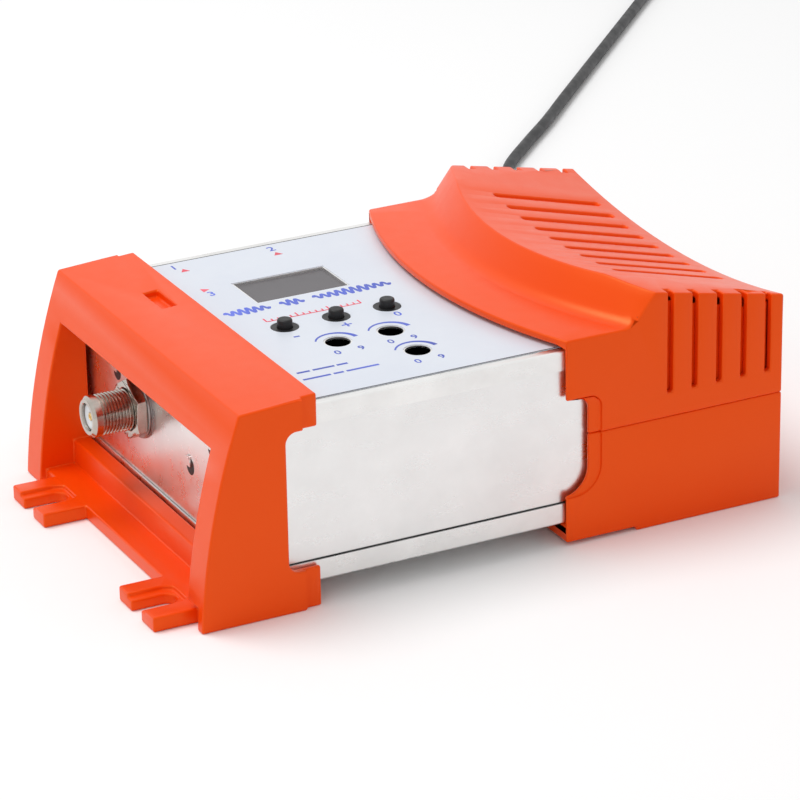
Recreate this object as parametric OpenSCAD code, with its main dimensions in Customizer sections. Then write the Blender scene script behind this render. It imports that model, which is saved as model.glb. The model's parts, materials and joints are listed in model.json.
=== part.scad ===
/* [Overall] */
// Length from the ear tips to the back of the rear housing
unit_l = 153.4; // [152:0.1:158]
// Gap between parts that slide together or lie side by side
fit_gap = 0.3; // [0.2:0.05:0.4]
// Gap between small parts that seat in each other
seat_gap = 0.1; // [0.05:0.01:0.15]
/* [Front bumper] */
// Width of the front bumper
bumper_w = 98.4; // [97.5:0.1:104]
// Height of its top front edge
bumper_h = 48.5; // [48:0.1:54]
// Rise of its top from the front edge to the back edge
bumper_rise = 0.9; // [0:0.1:2]
// How far the top front edge leans behind the foot
bumper_lean = 10.2; // [7:0.1:11]
// Radius of the bowed front, seen from the side
bumper_bow_r = 175; // [150:1:260]
// Depth of the outer skin at the foot
bumper_skin_l = 24.9; // [22:0.1:28]
// Inner lip that reaches behind the skin
bumper_lip = 3.9; // [2:0.1:5]
// Step from the skin in to the lip
lip_step = 1; // [0.6:0.1:1.2]
// Width of the connector window
window_w = 82; // [76:0.5:84]
// Height of the window's upper edge
window_top = 38.6; // [36:0.1:40]
// Height of the sill in front of the metal box
sill_h = 9.4; // [7:0.1:11]
// Depth of the sill
sill_l = 4.3; // [3:0.1:5]
// Thickness of the bumper's floor tray and ears
tray_t = 3.5; // [2.6:0.1:4]
// Set-back of the tray's front edge behind the pillar feet
tray_back = 1.7; // [1:0.1:3]
// Side notch of both covers: top of its lower lobe
notch_low = 9.4; // [8:0.1:12]
// Side notch of the bumper: bottom of its upper lobe
notch_high = 42; // [38:0.1:43]
// Depth of the bumper's side notch
notch_l = 3.9; // [3:0.1:5]
// Corner radius of the bumper's side notch
notch_r = 2.6; // [1:0.1:3.5]
// Latch pocket in the bumper's top, along the width
latch_w = 10.6; // [8:0.1:12]
// Latch pocket, front to back
latch_l = 3.4; // [2:0.1:4]
// Latch pocket depth
latch_depth = 1.6; // [1:0.1:2]
/* [Mounting ears] */
// Reach of the ears in front of the bumper foot
ear_out = 8.6; // [7:0.1:12]
// Width of one ear
ear_w = 18.7; // [16:0.1:20]
// Distance between the two slots
ear_pitch = 61; // [56:0.5:64]
// Offset of the pair of ears from the middle
ear_shift = 3.4; // [2:0.1:5]
// Width of the screw slot
slot_w = 5; // [4:0.1:6]
// Distance from the ear tip to the centre of the slot's round end
slot_l = 7.1; // [6:0.1:8]
// Width of the recess round the slot
recess_w = 9; // [8:0.1:11]
// Depth of the recess round the slot
recess_depth = 0.9; // [0.4:0.1:1.2]
/* [Rear housing] */
// Width of the rear housing
housing_w = 96; // [95.6:0.1:102]
// Length of the rear housing at its sides
housing_l = 55.4; // [52:0.1:60]
// Wall thickness of the rear housing
housing_wall = 2; // [1.6:0.1:2.4]
// Height of the lower deck
deck_z = 49.2; // [49:0.1:52]
// Forward bulge of the lower deck's front edge
deck_bulge = 9.5; // [6:0.1:11]
// Set-back of the slope's foot at the sides
slope_back = 16.6; // [14:0.1:20]
// Forward bulge of the slope's foot
slope_bulge = 12.4; // [8:0.1:13]
// Run of the slope, foot to crest
slope_run = 5; // [3:0.1:7]
// Height of the upper deck's rim above its front end
crest_z = 56.5; // [54:0.1:60]
// Height of the rim at the back
rim_back_z = 49.6; // [47:0.1:51]
// Height of the scooped deck's middle at the back
scoop_back_z = 44.7; // [43:0.1:46]
// Height of the scooped deck's middle above the rim's front end
scoop_front_z = 53.6; // [52:0.1:54]
// Radius of the scoop, seen from behind
scoop_r = 242; // [220:1:300]
// Height of the seam between the two halves
seam_z = 26; // [22:0.1:28]
// Raised underside in front of the rear foot
underside_z = 0.9; // [0.6:0.1:2]
// Length of the raised underside
underside_l = 17.8; // [14:0.1:22]
// Depth of the rear housing's side notch
rear_notch_l = 8.6; // [6:0.1:9]
// Bottom of the upper lobe at that notch
rear_notch_high = 34.9; // [32:0.1:38]
// Top of the lower lobe at that notch
rear_notch_low = 11.8; // [10:0.1:13]
// Large lower corner radius of that notch
rear_notch_r = 6.5; // [3:0.1:7]
// Small upper corner radius of that notch
rear_notch_top_r = 2.7; // [1:0.1:4]
/* [Vents] */
// Grooves in the upper deck
groove_n = 9; // [5:1:11]
// Distance between grooves
groove_pitch = 7; // [5:0.1:7.6]
// Width of a groove
groove_w = 2; // [1:0.1:3]
// Depth of a groove
groove_depth = 0.9; // [0.5:0.1:1.2]
// Side slots in each wall
side_slot_n = 5; // [3:1:6]
// Distance between side slots
side_slot_pitch = 6.3; // [5:0.1:6.6]
// Width of a side slot
side_slot_w = 1.4; // [1:0.1:2]
// Height of the side slots' lower ends
side_slot_low = 31.8; // [29:0.1:36]
// Distance from the housing's back to the last side slot
side_slot_back = 3.9; // [3:0.1:6]
/* [Metal box] */
// Width over the lids' skirts
box_w = 93.4; // [92:0.1:94]
// Room behind the box for the power supply, to the housing's back
supply_room = 40.6; // [39:0.1:43]
// Height of the bottom lid's underside
box_low = 5.2; // [5:0.1:6]
// Height of the top lid's face
box_high = 46.5; // [45:0.1:47]
// Sheet thickness
sheet_t = 0.5; // [0.4:0.05:0.6]
// Height of the top lid's skirt
top_skirt = 4.6; // [3:0.1:6]
// Height of the bottom lid's skirt
bottom_skirt = 4.9; // [3:0.1:6]
// Set-back of the box's front behind the bumper foot
box_setback = 13.4; // [13:0.1:14]
/* [Panel] */
// Thickness of the printed label
label_t = 0.15; // [0.1:0.01:0.2]
// Margin between the label and the lid's side edges
label_margin = 2.4; // [1:0.1:4]
// Display window, across
display_w = 13.2; // [11:0.1:14]
// Display window, front to back, as a share of the open panel's length
display_l_share = 0.3383; // [0.3:0.001:0.36]
// Display centre, as the same share
display_share = 0.6211; // [0.58:0.001:0.64]
// Display centre, left of the middle
display_x = 18.7; // [17:0.1:22]
// Middle button, as a share of the open panel's length
button_share = 0.6256; // [0.6:0.0001:0.66]
// Distance between buttons, as the same share
button_pitch_share = 0.191; // [0.165:0.001:0.195]
// Buttons' distance right of the middle
button_x = 4.3; // [2:0.1:6]
// Hole for a button or a trimmer in the lid
hole_d = 5.7; // [4.6:0.1:6]
// Button plunger diameter
plunger_d = 3.5; // [3:0.1:3.8]
// Height that a plunger stands above the label
plunger_out = 2; // [1:0.1:3]
// Travel of a button
button_travel = 0.3; // [0.2:0.05:0.4]
// First trimmer, as a share of the open panel's length
trimmer_share = 0.5323; // [0.51:0.0001:0.56]
// Distance between trimmers front to back, as the same share
trimmer_step_share = 0.1955; // [0.17:0.0001:0.2]
// Distance between trimmers across
trimmer_pitch = 13; // [11:0.1:14]
// First trimmer's distance right of the middle
trimmer_x = 17.7; // [16:0.1:19]
/* [RF connectors] */
// Thread outer diameter
thread_d = 9.52; // [9:0.01:9.6]
// Thread length that stands free of the nut
thread_l = 9.6; // [8:0.1:12]
// Nut across the flats
nut_af = 12.7; // [12:0.1:13]
// Nut thickness
nut_t = 2.5; // [2:0.1:3]
// Lock washer diameter
washer_d = 14.6; // [14:0.1:15]
// Lock washer thickness
washer_t = 0.9; // [0.6:0.1:1]
// Bore of the barrel
socket_d = 6.2; // [5.6:0.1:6.4]
// Connector axis height
rf_z = 27; // [26.5:0.1:27.4]
// Output connector, left of the middle
rf_out_x = 13; // [11:0.5:15]
// Input connector, as a share of the open panel's length
rf_in_share = 0.3579; // [0.33:0.0001:0.38]
// Gap between the input connector's washer and the video input socket
video_gap = 8.6; // [6:0.1:10]
/* [Main board] */
// Height of the board's underside
board_z = 27.6; // [27.6:0.1:28]
// Board thickness
board_t = 1.6; // [1:0.1:1.8]
// Switch and trimmer body width
switch_w = 6; // [5.6:0.1:6.4]
// Switch body height
switch_h = 3.5; // [3:0.1:4]
// Trimmer body height
trimmer_h = 4.8; // [4:0.1:5.4]
// Trimmer rotor diameter
rotor_d = 3.6; // [3:0.1:4]
/* [Power supply] */
// Power board height above the rest plane
psu_z = 9; // [8:0.1:10]
// Gap between the power board and the screw bosses
psu_side = 1.6; // [1:0.1:6]
// Power board depth
psu_l = 32; // [30:0.1:33]
// Transformer core width, as a share of the power board's half width
core_w_share = 0.595; // [0.5:0.005:0.63]
// Transformer core height
core_h = 19; // [16:0.5:22]
/* [Mains lead] */
// Lead diameter
cord_d = 3.2; // [3:0.1:3.4]
// Length of the strain relief outside the wall
gland_l = 24; // [22:0.5:28]
// Plug body length
plug_l = 35; // [30:0.5:40]
// Plug pin diameter
plug_pin_d = 4; // [3.9:0.05:4]
// Plug pin length
plug_pin_l = 19; // [18:0.5:20]
// Distance between the plug pins
plug_pitch = 18.6; // [17.5:0.1:19]
/* [Hidden] */
$fn = 96;
// Overrun of every cut, and sides of the widest arcs
over = 1;
arc_fn = 384;
// Places along the length
tip_y = -unit_l / 2;
back_y = unit_l / 2;
foot_y = tip_y + ear_out;
brow_y = foot_y + bumper_lean;
skin_y = foot_y + bumper_skin_l;
lip_y = skin_y + bumper_lip;
box_front = foot_y + box_setback;
box_back = back_y - supply_room;
front_y = back_y - housing_l;
panel_l = front_y - deck_bulge - box_front;
rim_front_y = front_y + slope_back + slope_run;
// Half widths, and the sheet metal frame inside the lids
bumper_hw = bumper_w / 2;
housing_hw = housing_w / 2;
box_hw = box_w / 2;
frame_hw = box_hw - sheet_t - seat_gap;
frame_in = frame_hw - sheet_t;
frame_front = box_front + sheet_t + seat_gap;
frame_back = box_back - sheet_t - seat_gap;
frame_low = box_low + sheet_t;
frame_high = box_high - sheet_t;
window_hw = window_w / 2;
label_z = box_high + label_t;
pocket_hw = box_hw + fit_gap;
pocket_z = [box_low - fit_gap, label_z + fit_gap];
// The input connector reaches past the left side, so the casing's middle lies right of the origin
connector_out = washer_t + nut_t + thread_l;
mid_x = (frame_hw + connector_out - bumper_hw) / 2;
// Bumper bow, seen from the side: an arc through the foot and the brow
bow_chord = norm([bumper_lean, bumper_h]);
bow_d = sqrt(bumper_bow_r * bumper_bow_r - bow_chord * bow_chord / 4);
bow_y = foot_y + bumper_lean / 2 + bow_d * bumper_h / bow_chord;
bow_z = bumper_h / 2 - bow_d * bumper_lean / bow_chord;
// Bumper details
pillar_pocket = 4;
pillar_wall = 2.2;
foot_recess_w = 5.5;
foot_recess_h = 5;
foot_recess_l = 2;
latch_x = 13.5;
latch_back = 12.2;
latch_y = brow_y + latch_back;
floor_pocket = 2;
// Rear housing curves, seen from above
deck_r = (housing_hw * housing_hw + deck_bulge * deck_bulge) / (2 * deck_bulge);
slope_r = (housing_hw * housing_hw + slope_bulge * slope_bulge) / (2 * slope_bulge);
deck_cy = front_y - deck_bulge + deck_r;
slope_cy = front_y + slope_back - slope_bulge + slope_r;
rim_run = back_y - rim_front_y;
rim_slope = (crest_z - rim_back_z) / rim_run;
crest_top = crest_z + rim_slope * (rim_front_y - front_y);
slope_lean = slope_run / (crest_z - deck_z);
scoop_angle = atan((scoop_front_z - scoop_back_z) / rim_run);
scoop_len = 3 * rim_run;
// Rear housing details
visor_t = 1.7;
floor_t = 2;
groove_start = 1;
groove_end = 3.5;
slot_over = 0.6;
slot_depth = housing_wall + slot_over;
notch_lip_t = 0.6;
notch_lip_l = 3;
cavity_hw = housing_hw - housing_wall;
cavity_back = back_y - housing_wall;
boss_d = 7;
boss_in = 3.9;
boss_z = 14;
boss_bore = 3.1;
screw_bore = 3.3;
screw_d = 2.9;
screw_head_d = 5.6;
screw_head_h = 2;
screw_sink = 2.6;
screw_grip = 8;
screw_ys = [box_back + fit_gap + boss_in, cavity_back - boss_in];
// Box details: half-moon tabs as shares of the frame's half width and height
tab_r = 1.7;
tab_drop = 0.6;
tab_shares = [[-0.57, 0.645], [0.285, 0.44], [0.545, 0.65]];
ledge_l = 2;
ledge_w = 4;
ledge_shares = [0.1, 0.82];
window_frame = 1.1;
filter_t = 0.6;
label_ring = 0.4;
label_start = 3;
label_end = 6;
display_y = box_front + display_share * panel_l;
display_l = display_l_share * panel_l;
// Display and its socket
module_w = 14;
module_h = 7.2;
module_gap = 0.4;
module_top = frame_high - filter_t - module_gap;
strip_w = 2.4;
// Main board inside the frame
board_top = board_z + board_t;
board_hw = frame_in - fit_gap;
board_y0 = frame_front + sheet_t + fit_gap;
board_y1 = frame_back - sheet_t - fit_gap;
board_l = board_y1 - board_y0;
board_cut = 0.5;
// Buttons and trimmers
plunger_top = label_z + plunger_out;
plunger_fit = 0.06;
plunger_edge = 0.3;
switch_floor = 1.2;
switch_gap = 0.2;
trimmer_w = 6.8;
rotor_sink = 1.8;
rotor_fit = 0.05;
rotor_slot = 0.7;
rotor_rise = 0.4;
button_ys = [for (i = [-1:1]) box_front + (button_share + i * button_pitch_share) * panel_l];
trimmer_xs = [trimmer_x, trimmer_x, trimmer_x + trimmer_pitch];
trimmer_ys = [for (i = [0, 1, 1]) box_front + (trimmer_share + i * trimmer_step_share) * panel_l];
// RF connectors, measured outwards from the frame's outer face
thread_r = thread_d / 2;
thread_fit = 0.1;
thread_start = washer_t + nut_t;
neck_step = 0.8;
flange_d = 12;
flange_t = 1.5;
tail_d = 8;
tail_l = 3;
tip_chamfer = 0.7;
socket_sink = 0.8;
pin_d = 1;
contact_d = 1.8;
contact_bore = 0.9;
contact_depth = 6;
contact_tail = 5;
flange_back = -sheet_t - flange_t;
face_z = connector_out - socket_sink;
behind_wall = sheet_t + flange_t + tail_l + board_cut;
rf_in_y = box_front + rf_in_share * panel_l;
// Video socket, its section as shares of its width and height
video_w = 15;
video_h = 5.9;
video_depth = 11.4;
video_sheet = 0.4;
video_out = 0.5;
video_in_y = rf_in_y + washer_d / 2 + video_gap + video_w / 2;
video_shape_shares = [[-0.5, 1], [-0.5, 0.42], [-0.42, 0], [0.42, 0], [0.5, 0.42], [0.5, 1]];
tongue_w = 12.2;
tongue_t = 1.9;
tongue_l = 7;
block_l = 3;
// Board parts, placed by shares of the board's half width and length
can_x_share = -0.48;
can_w = 30;
can_h = 8;
can_gap = 0.6;
can_ys = [frame_front + behind_wall + can_gap, display_y - display_l / 2 - can_gap];
can_wall = 0.4;
video_chip_x_share = -0.55;
video_chip_size = [14, 14, 1.4];
video_chip_y = display_y + display_l / 2 + video_chip_size[1] / 2 + fit_gap;
control_chip_shares = [0.12, 0.82];
control_chip_size = [12, 8, 1.6];
crystal_shares = [-0.2, 0.82];
crystal_size = [11, 4.6, 3.6];
capacitor_shares = [[0.75, 0.15], [0.75, 0.28], [0.75, 0.88], [-0.86, 0.9], [0.2, 0.94]];
capacitor_d = 6;
capacitor_h = 9;
// Power lead, grommet and header
lead_x = 22;
lead_d = 2.6;
grommet_d = 9;
grommet_hole = 6.4;
grommet_t = 2.5;
lead_z = board_top + grommet_d / 2 + fit_gap;
header_size = [8, 6, 8];
header_in = 8;
header_back = board_y1 - header_in;
lead_bend = 4;
// Power supply: its parts' places across are shares of its half width
psu_t = 1.6;
psu_top = psu_z + psu_t;
psu_front = 2;
psu_y0 = box_back + psu_front;
psu_mid = psu_y0 + psu_l / 2;
psu_hw = cavity_hw - boss_in - boss_d / 2 - psu_side;
psu_post_d = 5;
psu_post_in = 4;
core_x = 0.11 * psu_hw;
core_w = core_w_share * psu_hw;
core_l = 16;
core_leg = 4;
core_mid = 6;
winding_gap = 0.2;
winding_out = 3;
bulk_x = -0.486 * psu_hw;
bulk_d = 0.338 * psu_hw;
bulk_h = 20;
output_x = 0.595 * psu_hw;
output_d = 0.27 * psu_hw;
output_h = 16;
filter_x = -0.811 * psu_hw;
filter_size = [0.27 * psu_hw, 13, 15];
fuse_x = -0.38 * psu_hw;
fuse_d = 5.2;
fuse_l = 0.54 * psu_hw;
fuse_in = 5;
fuse_clip = 3;
power_chip_x = 0.84 * psu_hw;
power_chip_size = [0.17 * psu_hw, 8, 3.4];
// Strain relief and mains wires
gland_x = -26;
gland_z = 9;
gland_d = 9;
gland_root_d = 8.6;
gland_tip_d = 5;
gland_flange_d = 11;
gland_flange_t = 1.5;
wire_d = 1.4;
wire_fn = 24;
wire_pitch = 3;
wire_bend = 1.6;
wire_rise = 5;
wire_pad = 3;
// Lead route, its points chosen by hand
cord_r = cord_d / 2;
run_sides = 8;
run_steps = 3;
coil_sides = 6;
run_start = [gland_x, back_y + gland_l, gland_z];
cord_route = [[-26, 106, 8.6], [-27.5, 112, 6.6], [-32, 118, 4.2], [-40, 122, 2.6],
    [-52, 124, 2], [-68, 124, 1.8], [-88, 122, 1.8], [-108, 120, 1.8], [-128, 118.5, 1.8],
    [-144, 118, 1.8], [-157, 120.5, 1.8], [-170, 127.5, 1.8], [-184, 140.5, 1.8],
    [-198.5, 155, 1.8], [-213.5, 169, 1.8], [-231, 185.5, 1.8], [-249, 202.5, 1.8],
    [-267, 219.5, 1.8], [-285, 236.5, 1.8], [-300, 251, 2.2], [-314, 264.5, 2.5]];
// Coil: it winds in on one layer, climbs in half a turn and winds out on the next
coil_turns = 3.25;
coil_climb = 0.5;
coil_in_r = 12.8;
coil_pitch = 3.75;
coil_rise = 3.75;
coil_steps = 24;
coil_heading = 136;
exit_heading = 180;
exit_turn = 0.25;
tail_run = 30;
coil_mid = coil_turns + coil_climb / 2;
coil_low_r = coil_in_r - coil_pitch * coil_climb / 2;
coil_out_r = coil_in_r + coil_pitch * coil_turns;
coil_end = 2 * coil_turns + coil_climb + (exit_heading - coil_heading) / 360;
tie_t = 0.5;
tie_w = 3.4;
tie_gap = 0.3;
tie_turn = 0.25;
// Plug: outlines as shares of its length, width and height
plug_w = 35.3;
plug_h = 13.8;
plug_z = plug_h / 2;
plug_plan_shares = [[0, -0.21], [0.35, -0.31], [0.75, -0.5], [1, -0.5],
    [1, 0.5], [0.75, 0.5], [0.35, 0.31], [0, 0.21]];
plug_side_shares = [[0, -0.36], [0.4, -0.5], [1, -0.5], [1, 0.5], [0.4, 0.5], [0, 0.36]];
plug_face_shares = [[-0.5, -0.2], [-0.38, -0.5], [0.38, -0.5], [0.5, -0.2],
    [0.5, 0.2], [0.38, 0.5], [-0.38, 0.5], [-0.5, 0.2]];

module at_mid() {
    translate([mid_x, 0, 0]) children();
}
module slab(x, y, z) {
    translate([x[0], y[0], z[0]]) cube([x[1] - x[0], y[1] - y[0], z[1] - z[0]]);
}
module post(x, y, z, d) {
    translate([x, y, z[0]]) cylinder(h = z[1] - z[0], d = d);
}
// A side view, given in length and height, drawn across the width
module across(hw) {
    translate([-hw, 0, 0]) rotate([90, 0, 90]) linear_extrude(2 * hw) children();
}
module both_sides() {
    children();
    mirror([1, 0, 0]) children();
}
// Side notch of a cover, closed at y by two round corners and open towards the rear
module notch(y, reach, low, high, low_r, high_r) {
    difference() {
        translate([y, low]) square([reach, high - low]);
        translate([y, low]) square(low_r);
        translate([y, high - high_r]) square(high_r);
    }
    translate([y + low_r, low + low_r]) circle(r = low_r);
    translate([y + high_r, high - high_r]) circle(r = high_r);
}
function bumper_top(y) = bumper_h + bumper_rise * (y - brow_y) / (skin_y - brow_y);

module bumper_side(end_y) {
    intersection() {
        polygon([[tip_y, 0], [end_y, 0], [end_y, bumper_top(end_y)], [tip_y, bumper_top(tip_y)]]);
        translate([bow_y, bow_z]) circle(r = bumper_bow_r, $fn = arc_fn);
    }
}
module ear(x) {
    round_y = tip_y + slot_l;
    difference() {
        slab([x - ear_w / 2, x + ear_w / 2], [tip_y, foot_y + tray_back + over], [0, tray_t]);
        slab([x - slot_w / 2, x + slot_w / 2], [tip_y - over, round_y], [-over, tray_t + over]);
        post(x, round_y, [-over, tray_t + over], slot_w);
        slab([x - recess_w / 2, x + recess_w / 2], [tip_y - over, round_y],
            [tray_t - recess_depth, tray_t + over]);
        post(x, round_y, [tray_t - recess_depth, tray_t + over], recess_w);
    }
}
module front_cover() {
    pocket_y = box_front - fit_gap;
    color("orangered") at_mid() {
        difference() {
            union() {
                across(bumper_hw) bumper_side(skin_y);
                across(bumper_hw - lip_step) bumper_side(lip_y);
            }
            slab([-pocket_hw, pocket_hw], [pocket_y, lip_y + over], pocket_z);
            slab([-window_hw, window_hw], [tip_y, pocket_y + over], [sill_h, window_top]);
            slab([-window_hw, window_hw], [tip_y, pocket_y - sill_l], [tray_t, window_top]);
            slab([-window_hw, window_hw], [tip_y, foot_y + tray_back], [-over, window_top]);
            slab([window_hw - over, window_hw + foot_recess_w], [tip_y, foot_y + foot_recess_l],
                [-over, foot_recess_h]);
            both_sides() slab([window_hw + pillar_wall, pocket_hw],
                [pocket_y - pillar_pocket, pocket_y + over], [sill_h, window_top - pillar_wall]);
            slab([-window_hw, window_hw], [pocket_y, lip_y + over], [-over, floor_pocket]);
            slab([-latch_x - latch_w, -latch_x], [latch_y - latch_l / 2, latch_y + latch_l / 2],
                [bumper_top(latch_y) - latch_depth, bumper_top(lip_y) + over]);
            both_sides() translate([window_hw + pillar_wall, 0, 0]) rotate([90, 0, 90])
                linear_extrude(bumper_hw) notch(skin_y - notch_l, notch_l + bumper_lip + over,
                    notch_low, notch_high, notch_r, notch_r);
        }
        for (side = [-1, 1]) ear(ear_shift + side * ear_pitch / 2);
    }
}
// The scoop of the upper deck; inset deepens it
module scoop(inset) {
    translate([0, rim_front_y, scoop_front_z]) rotate([-scoop_angle, 0, 0])
        translate([0, 0, scoop_r]) rotate([-90, 0, 0])
            cylinder(h = scoop_len, r = scoop_r + inset, center = true, $fn = arc_fn);
}
// The rear housing above its seam; inset shrinks every face but the seam's
module housing_upper(inset) {
    hw = housing_hw - inset;
    far_y = back_y - inset;
    low_z = deck_z - inset - over;
    difference() {
        union() {
            slab([-hw, hw], [front_y + inset, far_y], [seam_z, deck_z - inset]);
            intersection() {
                across(hw) polygon([[front_y, low_z], [far_y, low_z],
                    [far_y, rim_back_z + (rim_slope - 1) * inset], [front_y, crest_top - inset]]);
                translate([0, slope_cy, low_z]) cylinder(h = crest_top - low_z,
                    r1 = slope_r - inset + slope_lean * (inset + over),
                    r2 = slope_r - inset - slope_lean * (crest_top - deck_z), $fn = arc_fn);
            }
        }
        scoop(inset);
    }
}
module visor() {
    intersection() {
        slab([-housing_hw, housing_hw], [front_y - deck_bulge, front_y + over],
            [deck_z - visor_t, deck_z]);
        translate([0, deck_cy, 0]) cylinder(h = crest_z, r = deck_r, $fn = arc_fn);
    }
}
// Space for the metal box, with the side notches in front of it
module box_pocket() {
    closed_y = front_y + rear_notch_l;
    slab([-pocket_hw, pocket_hw], [front_y - over, box_back + fit_gap], pocket_z);
    both_sides() {
        translate([box_hw, 0, 0]) rotate([90, 0, 90]) linear_extrude(housing_wall + over)
            rear_notch(closed_y - notch_lip_l);
        translate([pocket_hw + notch_lip_t, 0, 0]) rotate([90, 0, 90])
            linear_extrude(housing_wall + over) rear_notch(closed_y);
    }
}
module rear_notch(y) {
    translate([y, 0]) mirror([1, 0]) notch(0, rear_notch_l + over, rear_notch_low,
        rear_notch_high, rear_notch_r, rear_notch_top_r);
}
module grooves() {
    middle = (groove_n - 1) / 2;
    translate([0, rim_front_y, scoop_front_z]) rotate([-scoop_angle, 0, 0])
        for (i = [0:groove_n - 1]) {
            x = (i - middle) * groove_pitch;
            low = x * x / (2 * scoop_r) - groove_depth;
            ends = [groove_start + groove_w / 2, rim_run - groove_end - groove_w / 2];
            slab([x - groove_w / 2, x + groove_w / 2], ends, [low, low + crest_z - deck_z]);
            for (y = ends) post(x, y, [low, low + crest_z - deck_z], groove_w);
        }
}
module side_slots() {
    for (i = [0:side_slot_n - 1]) {
        y = back_y - side_slot_back - i * side_slot_pitch;
        both_sides() slab([housing_hw - slot_depth, housing_hw + over],
            [y - side_slot_w / 2, y + side_slot_w / 2], [side_slot_low, crest_top]);
    }
}
module at_screws() {
    for (side = [-1, 1]) for (y = screw_ys) translate([side * (cavity_hw - boss_in), y, 0]) children();
}
module rear_cover_top() {
    color("orangered") at_mid() difference() {
        union() {
            difference() {
                housing_upper(0);
                housing_upper(housing_wall);
                slab([-cavity_hw, cavity_hw], [front_y + housing_wall, cavity_back],
                    [seam_z - over, seam_z + over]);
            }
            visor();
            intersection() {
                at_screws() post(0, 0, [boss_z, crest_top], boss_d);
                union() {
                    housing_upper(housing_wall / 2);
                    slab([-cavity_hw, cavity_hw], [box_back, cavity_back], [boss_z, seam_z]);
                }
            }
        }
        box_pocket();
        at_screws() post(0, 0, [boss_z - over, boss_z + screw_grip + over], boss_bore);
        side_slots();
        grooves();
    }
}
module rear_cover_bottom() {
    color("orangered") at_mid() difference() {
        union() {
            difference() {
                slab([-housing_hw, housing_hw], [front_y, back_y], [0, seam_z]);
                slab([-cavity_hw, cavity_hw], [box_back, cavity_back], [floor_t, seam_z + over]);
            }
            at_screws() post(0, 0, [0, boss_z - seat_gap], boss_d);
            for (side = [-1, 1]) for (y = [psu_y0 + psu_post_in, psu_y0 + psu_l - psu_post_in])
                post(side * (psu_hw - psu_post_in), y, [0, psu_z], psu_post_d);
        }
        box_pocket();
        slab([-housing_hw - over, housing_hw + over], [front_y - over, front_y + underside_l],
            [-over, underside_z]);
        at_screws() {
            post(0, 0, [-over, boss_z + over], screw_bore);
            post(0, 0, [-over, screw_sink], screw_head_d + 2 * fit_gap);
        }
        translate([gland_x - mid_x, cavity_back - over, gland_z]) rotate([-90, 0, 0])
            cylinder(h = housing_wall + 2 * over, d = gland_d + 2 * seat_gap);
    }
}
module cover_screws() {
    color("silver") at_mid() at_screws() {
        post(0, 0, [screw_sink - screw_head_h, screw_sink], screw_head_d);
        post(0, 0, [screw_sink, boss_z + screw_grip], screw_d);
    }
}
module at_rf_out() {
    at_mid() translate([-rf_out_x, frame_front, rf_z]) rotate([90, 0, 0]) children();
}
module at_rf_in() {
    at_mid() translate([-frame_hw, rf_in_y, rf_z]) rotate([90, 0, -90]) children();
}
// The box's four walls, open above and below
module box_frame() {
    color("gainsboro") difference() {
        at_mid() difference() {
            union() {
                difference() {
                    slab([-frame_hw, frame_hw], [frame_front, frame_back], [frame_low, frame_high]);
                    slab([-frame_in, frame_in], [frame_front + sheet_t, frame_back - sheet_t],
                        [frame_low - over, frame_high + over]);
                }
                both_sides() for (share = ledge_shares) slab([frame_in - ledge_l, frame_hw],
                    [board_y0 + share * board_l, board_y0 + share * board_l + ledge_w],
                    [board_z - sheet_t, board_z]);
                for (s = tab_shares) translate([s[0] * frame_hw, frame_front,
                    frame_low + s[1] * (frame_high - frame_low)]) tab();
            }
            slab([-frame_hw - over, -frame_in + over],
                [video_in_y - video_w / 2 - seat_gap, video_in_y + video_w / 2 + seat_gap],
                [board_top - seat_gap, board_top + video_h + seat_gap]);
            translate([lead_x, frame_back - sheet_t - over, lead_z]) rotate([-90, 0, 0])
                cylinder(h = sheet_t + 2 * over, d = grommet_hole);
        }
        at_rf_out() wall_hole();
        at_rf_in() wall_hole();
    }
}
module wall_hole() {
    translate([0, 0, -sheet_t - over]) cylinder(h = sheet_t + 2 * over, r = thread_r + thread_fit);
}
// A half-moon tab pressed out of the front wall
module tab() {
    intersection() {
        translate([0, seat_gap, 0]) rotate([90, 0, 0]) cylinder(h = sheet_t + seat_gap, r = tab_r);
        slab([-tab_r, tab_r], [-sheet_t, seat_gap], [-tab_drop, tab_r]);
    }
}
// A lid: plate gives the heights of its face, skirt those of the space inside its rim
module lid(plate, skirt) {
    difference() {
        slab([-box_hw, box_hw], [box_front, box_back], [min(plate[0], skirt[0]), max(plate[1], skirt[1])]);
        slab([-box_hw + sheet_t, box_hw - sheet_t], [box_front + sheet_t, box_back - sheet_t], skirt);
    }
}
module panel_holes(ring) {
    low = frame_high - over;
    high = label_z + over;
    slab([-display_x - display_w / 2 - ring, -display_x + display_w / 2 + ring],
        [display_y - display_l / 2 - ring, display_y + display_l / 2 + ring], [low, high]);
    for (y = button_ys) post(button_x, y, [low, high], hole_d + 2 * ring);
    for (i = [0:2]) post(trimmer_xs[i], trimmer_ys[i], [low, high], hole_d + 2 * ring);
}
module box_top_lid() {
    color("gainsboro") at_mid() difference() {
        lid([frame_high, box_high], [box_high - top_skirt - over, frame_high]);
        slab([-box_hw - over, box_hw + over], [box_front - over, box_back + over],
            [box_high - top_skirt - 2 * over, box_high - top_skirt]);
        panel_holes(0);
    }
}
module box_bottom_lid() {
    color("gainsboro") at_mid() difference() {
        lid([box_low, frame_low], [frame_low, box_low + bottom_skirt + over]);
        slab([-box_hw - over, box_hw + over], [box_front - over, box_back + over],
            [box_low + bottom_skirt, box_low + bottom_skirt + 2 * over]);
    }
}
module top_label() {
    color("whitesmoke") at_mid() difference() {
        slab([-box_hw + label_margin, box_hw - label_margin],
            [box_front + label_start, box_back - label_end], [box_high, label_z]);
        panel_holes(label_ring);
    }
}
module display_filter() {
    hw = display_w / 2 + window_frame;
    hl = display_l / 2 + window_frame;
    color("dimgray") at_mid() slab([-display_x - hw, -display_x + hw], [display_y - hl, display_y + hl],
        [frame_high - filter_t, frame_high]);
}
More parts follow.
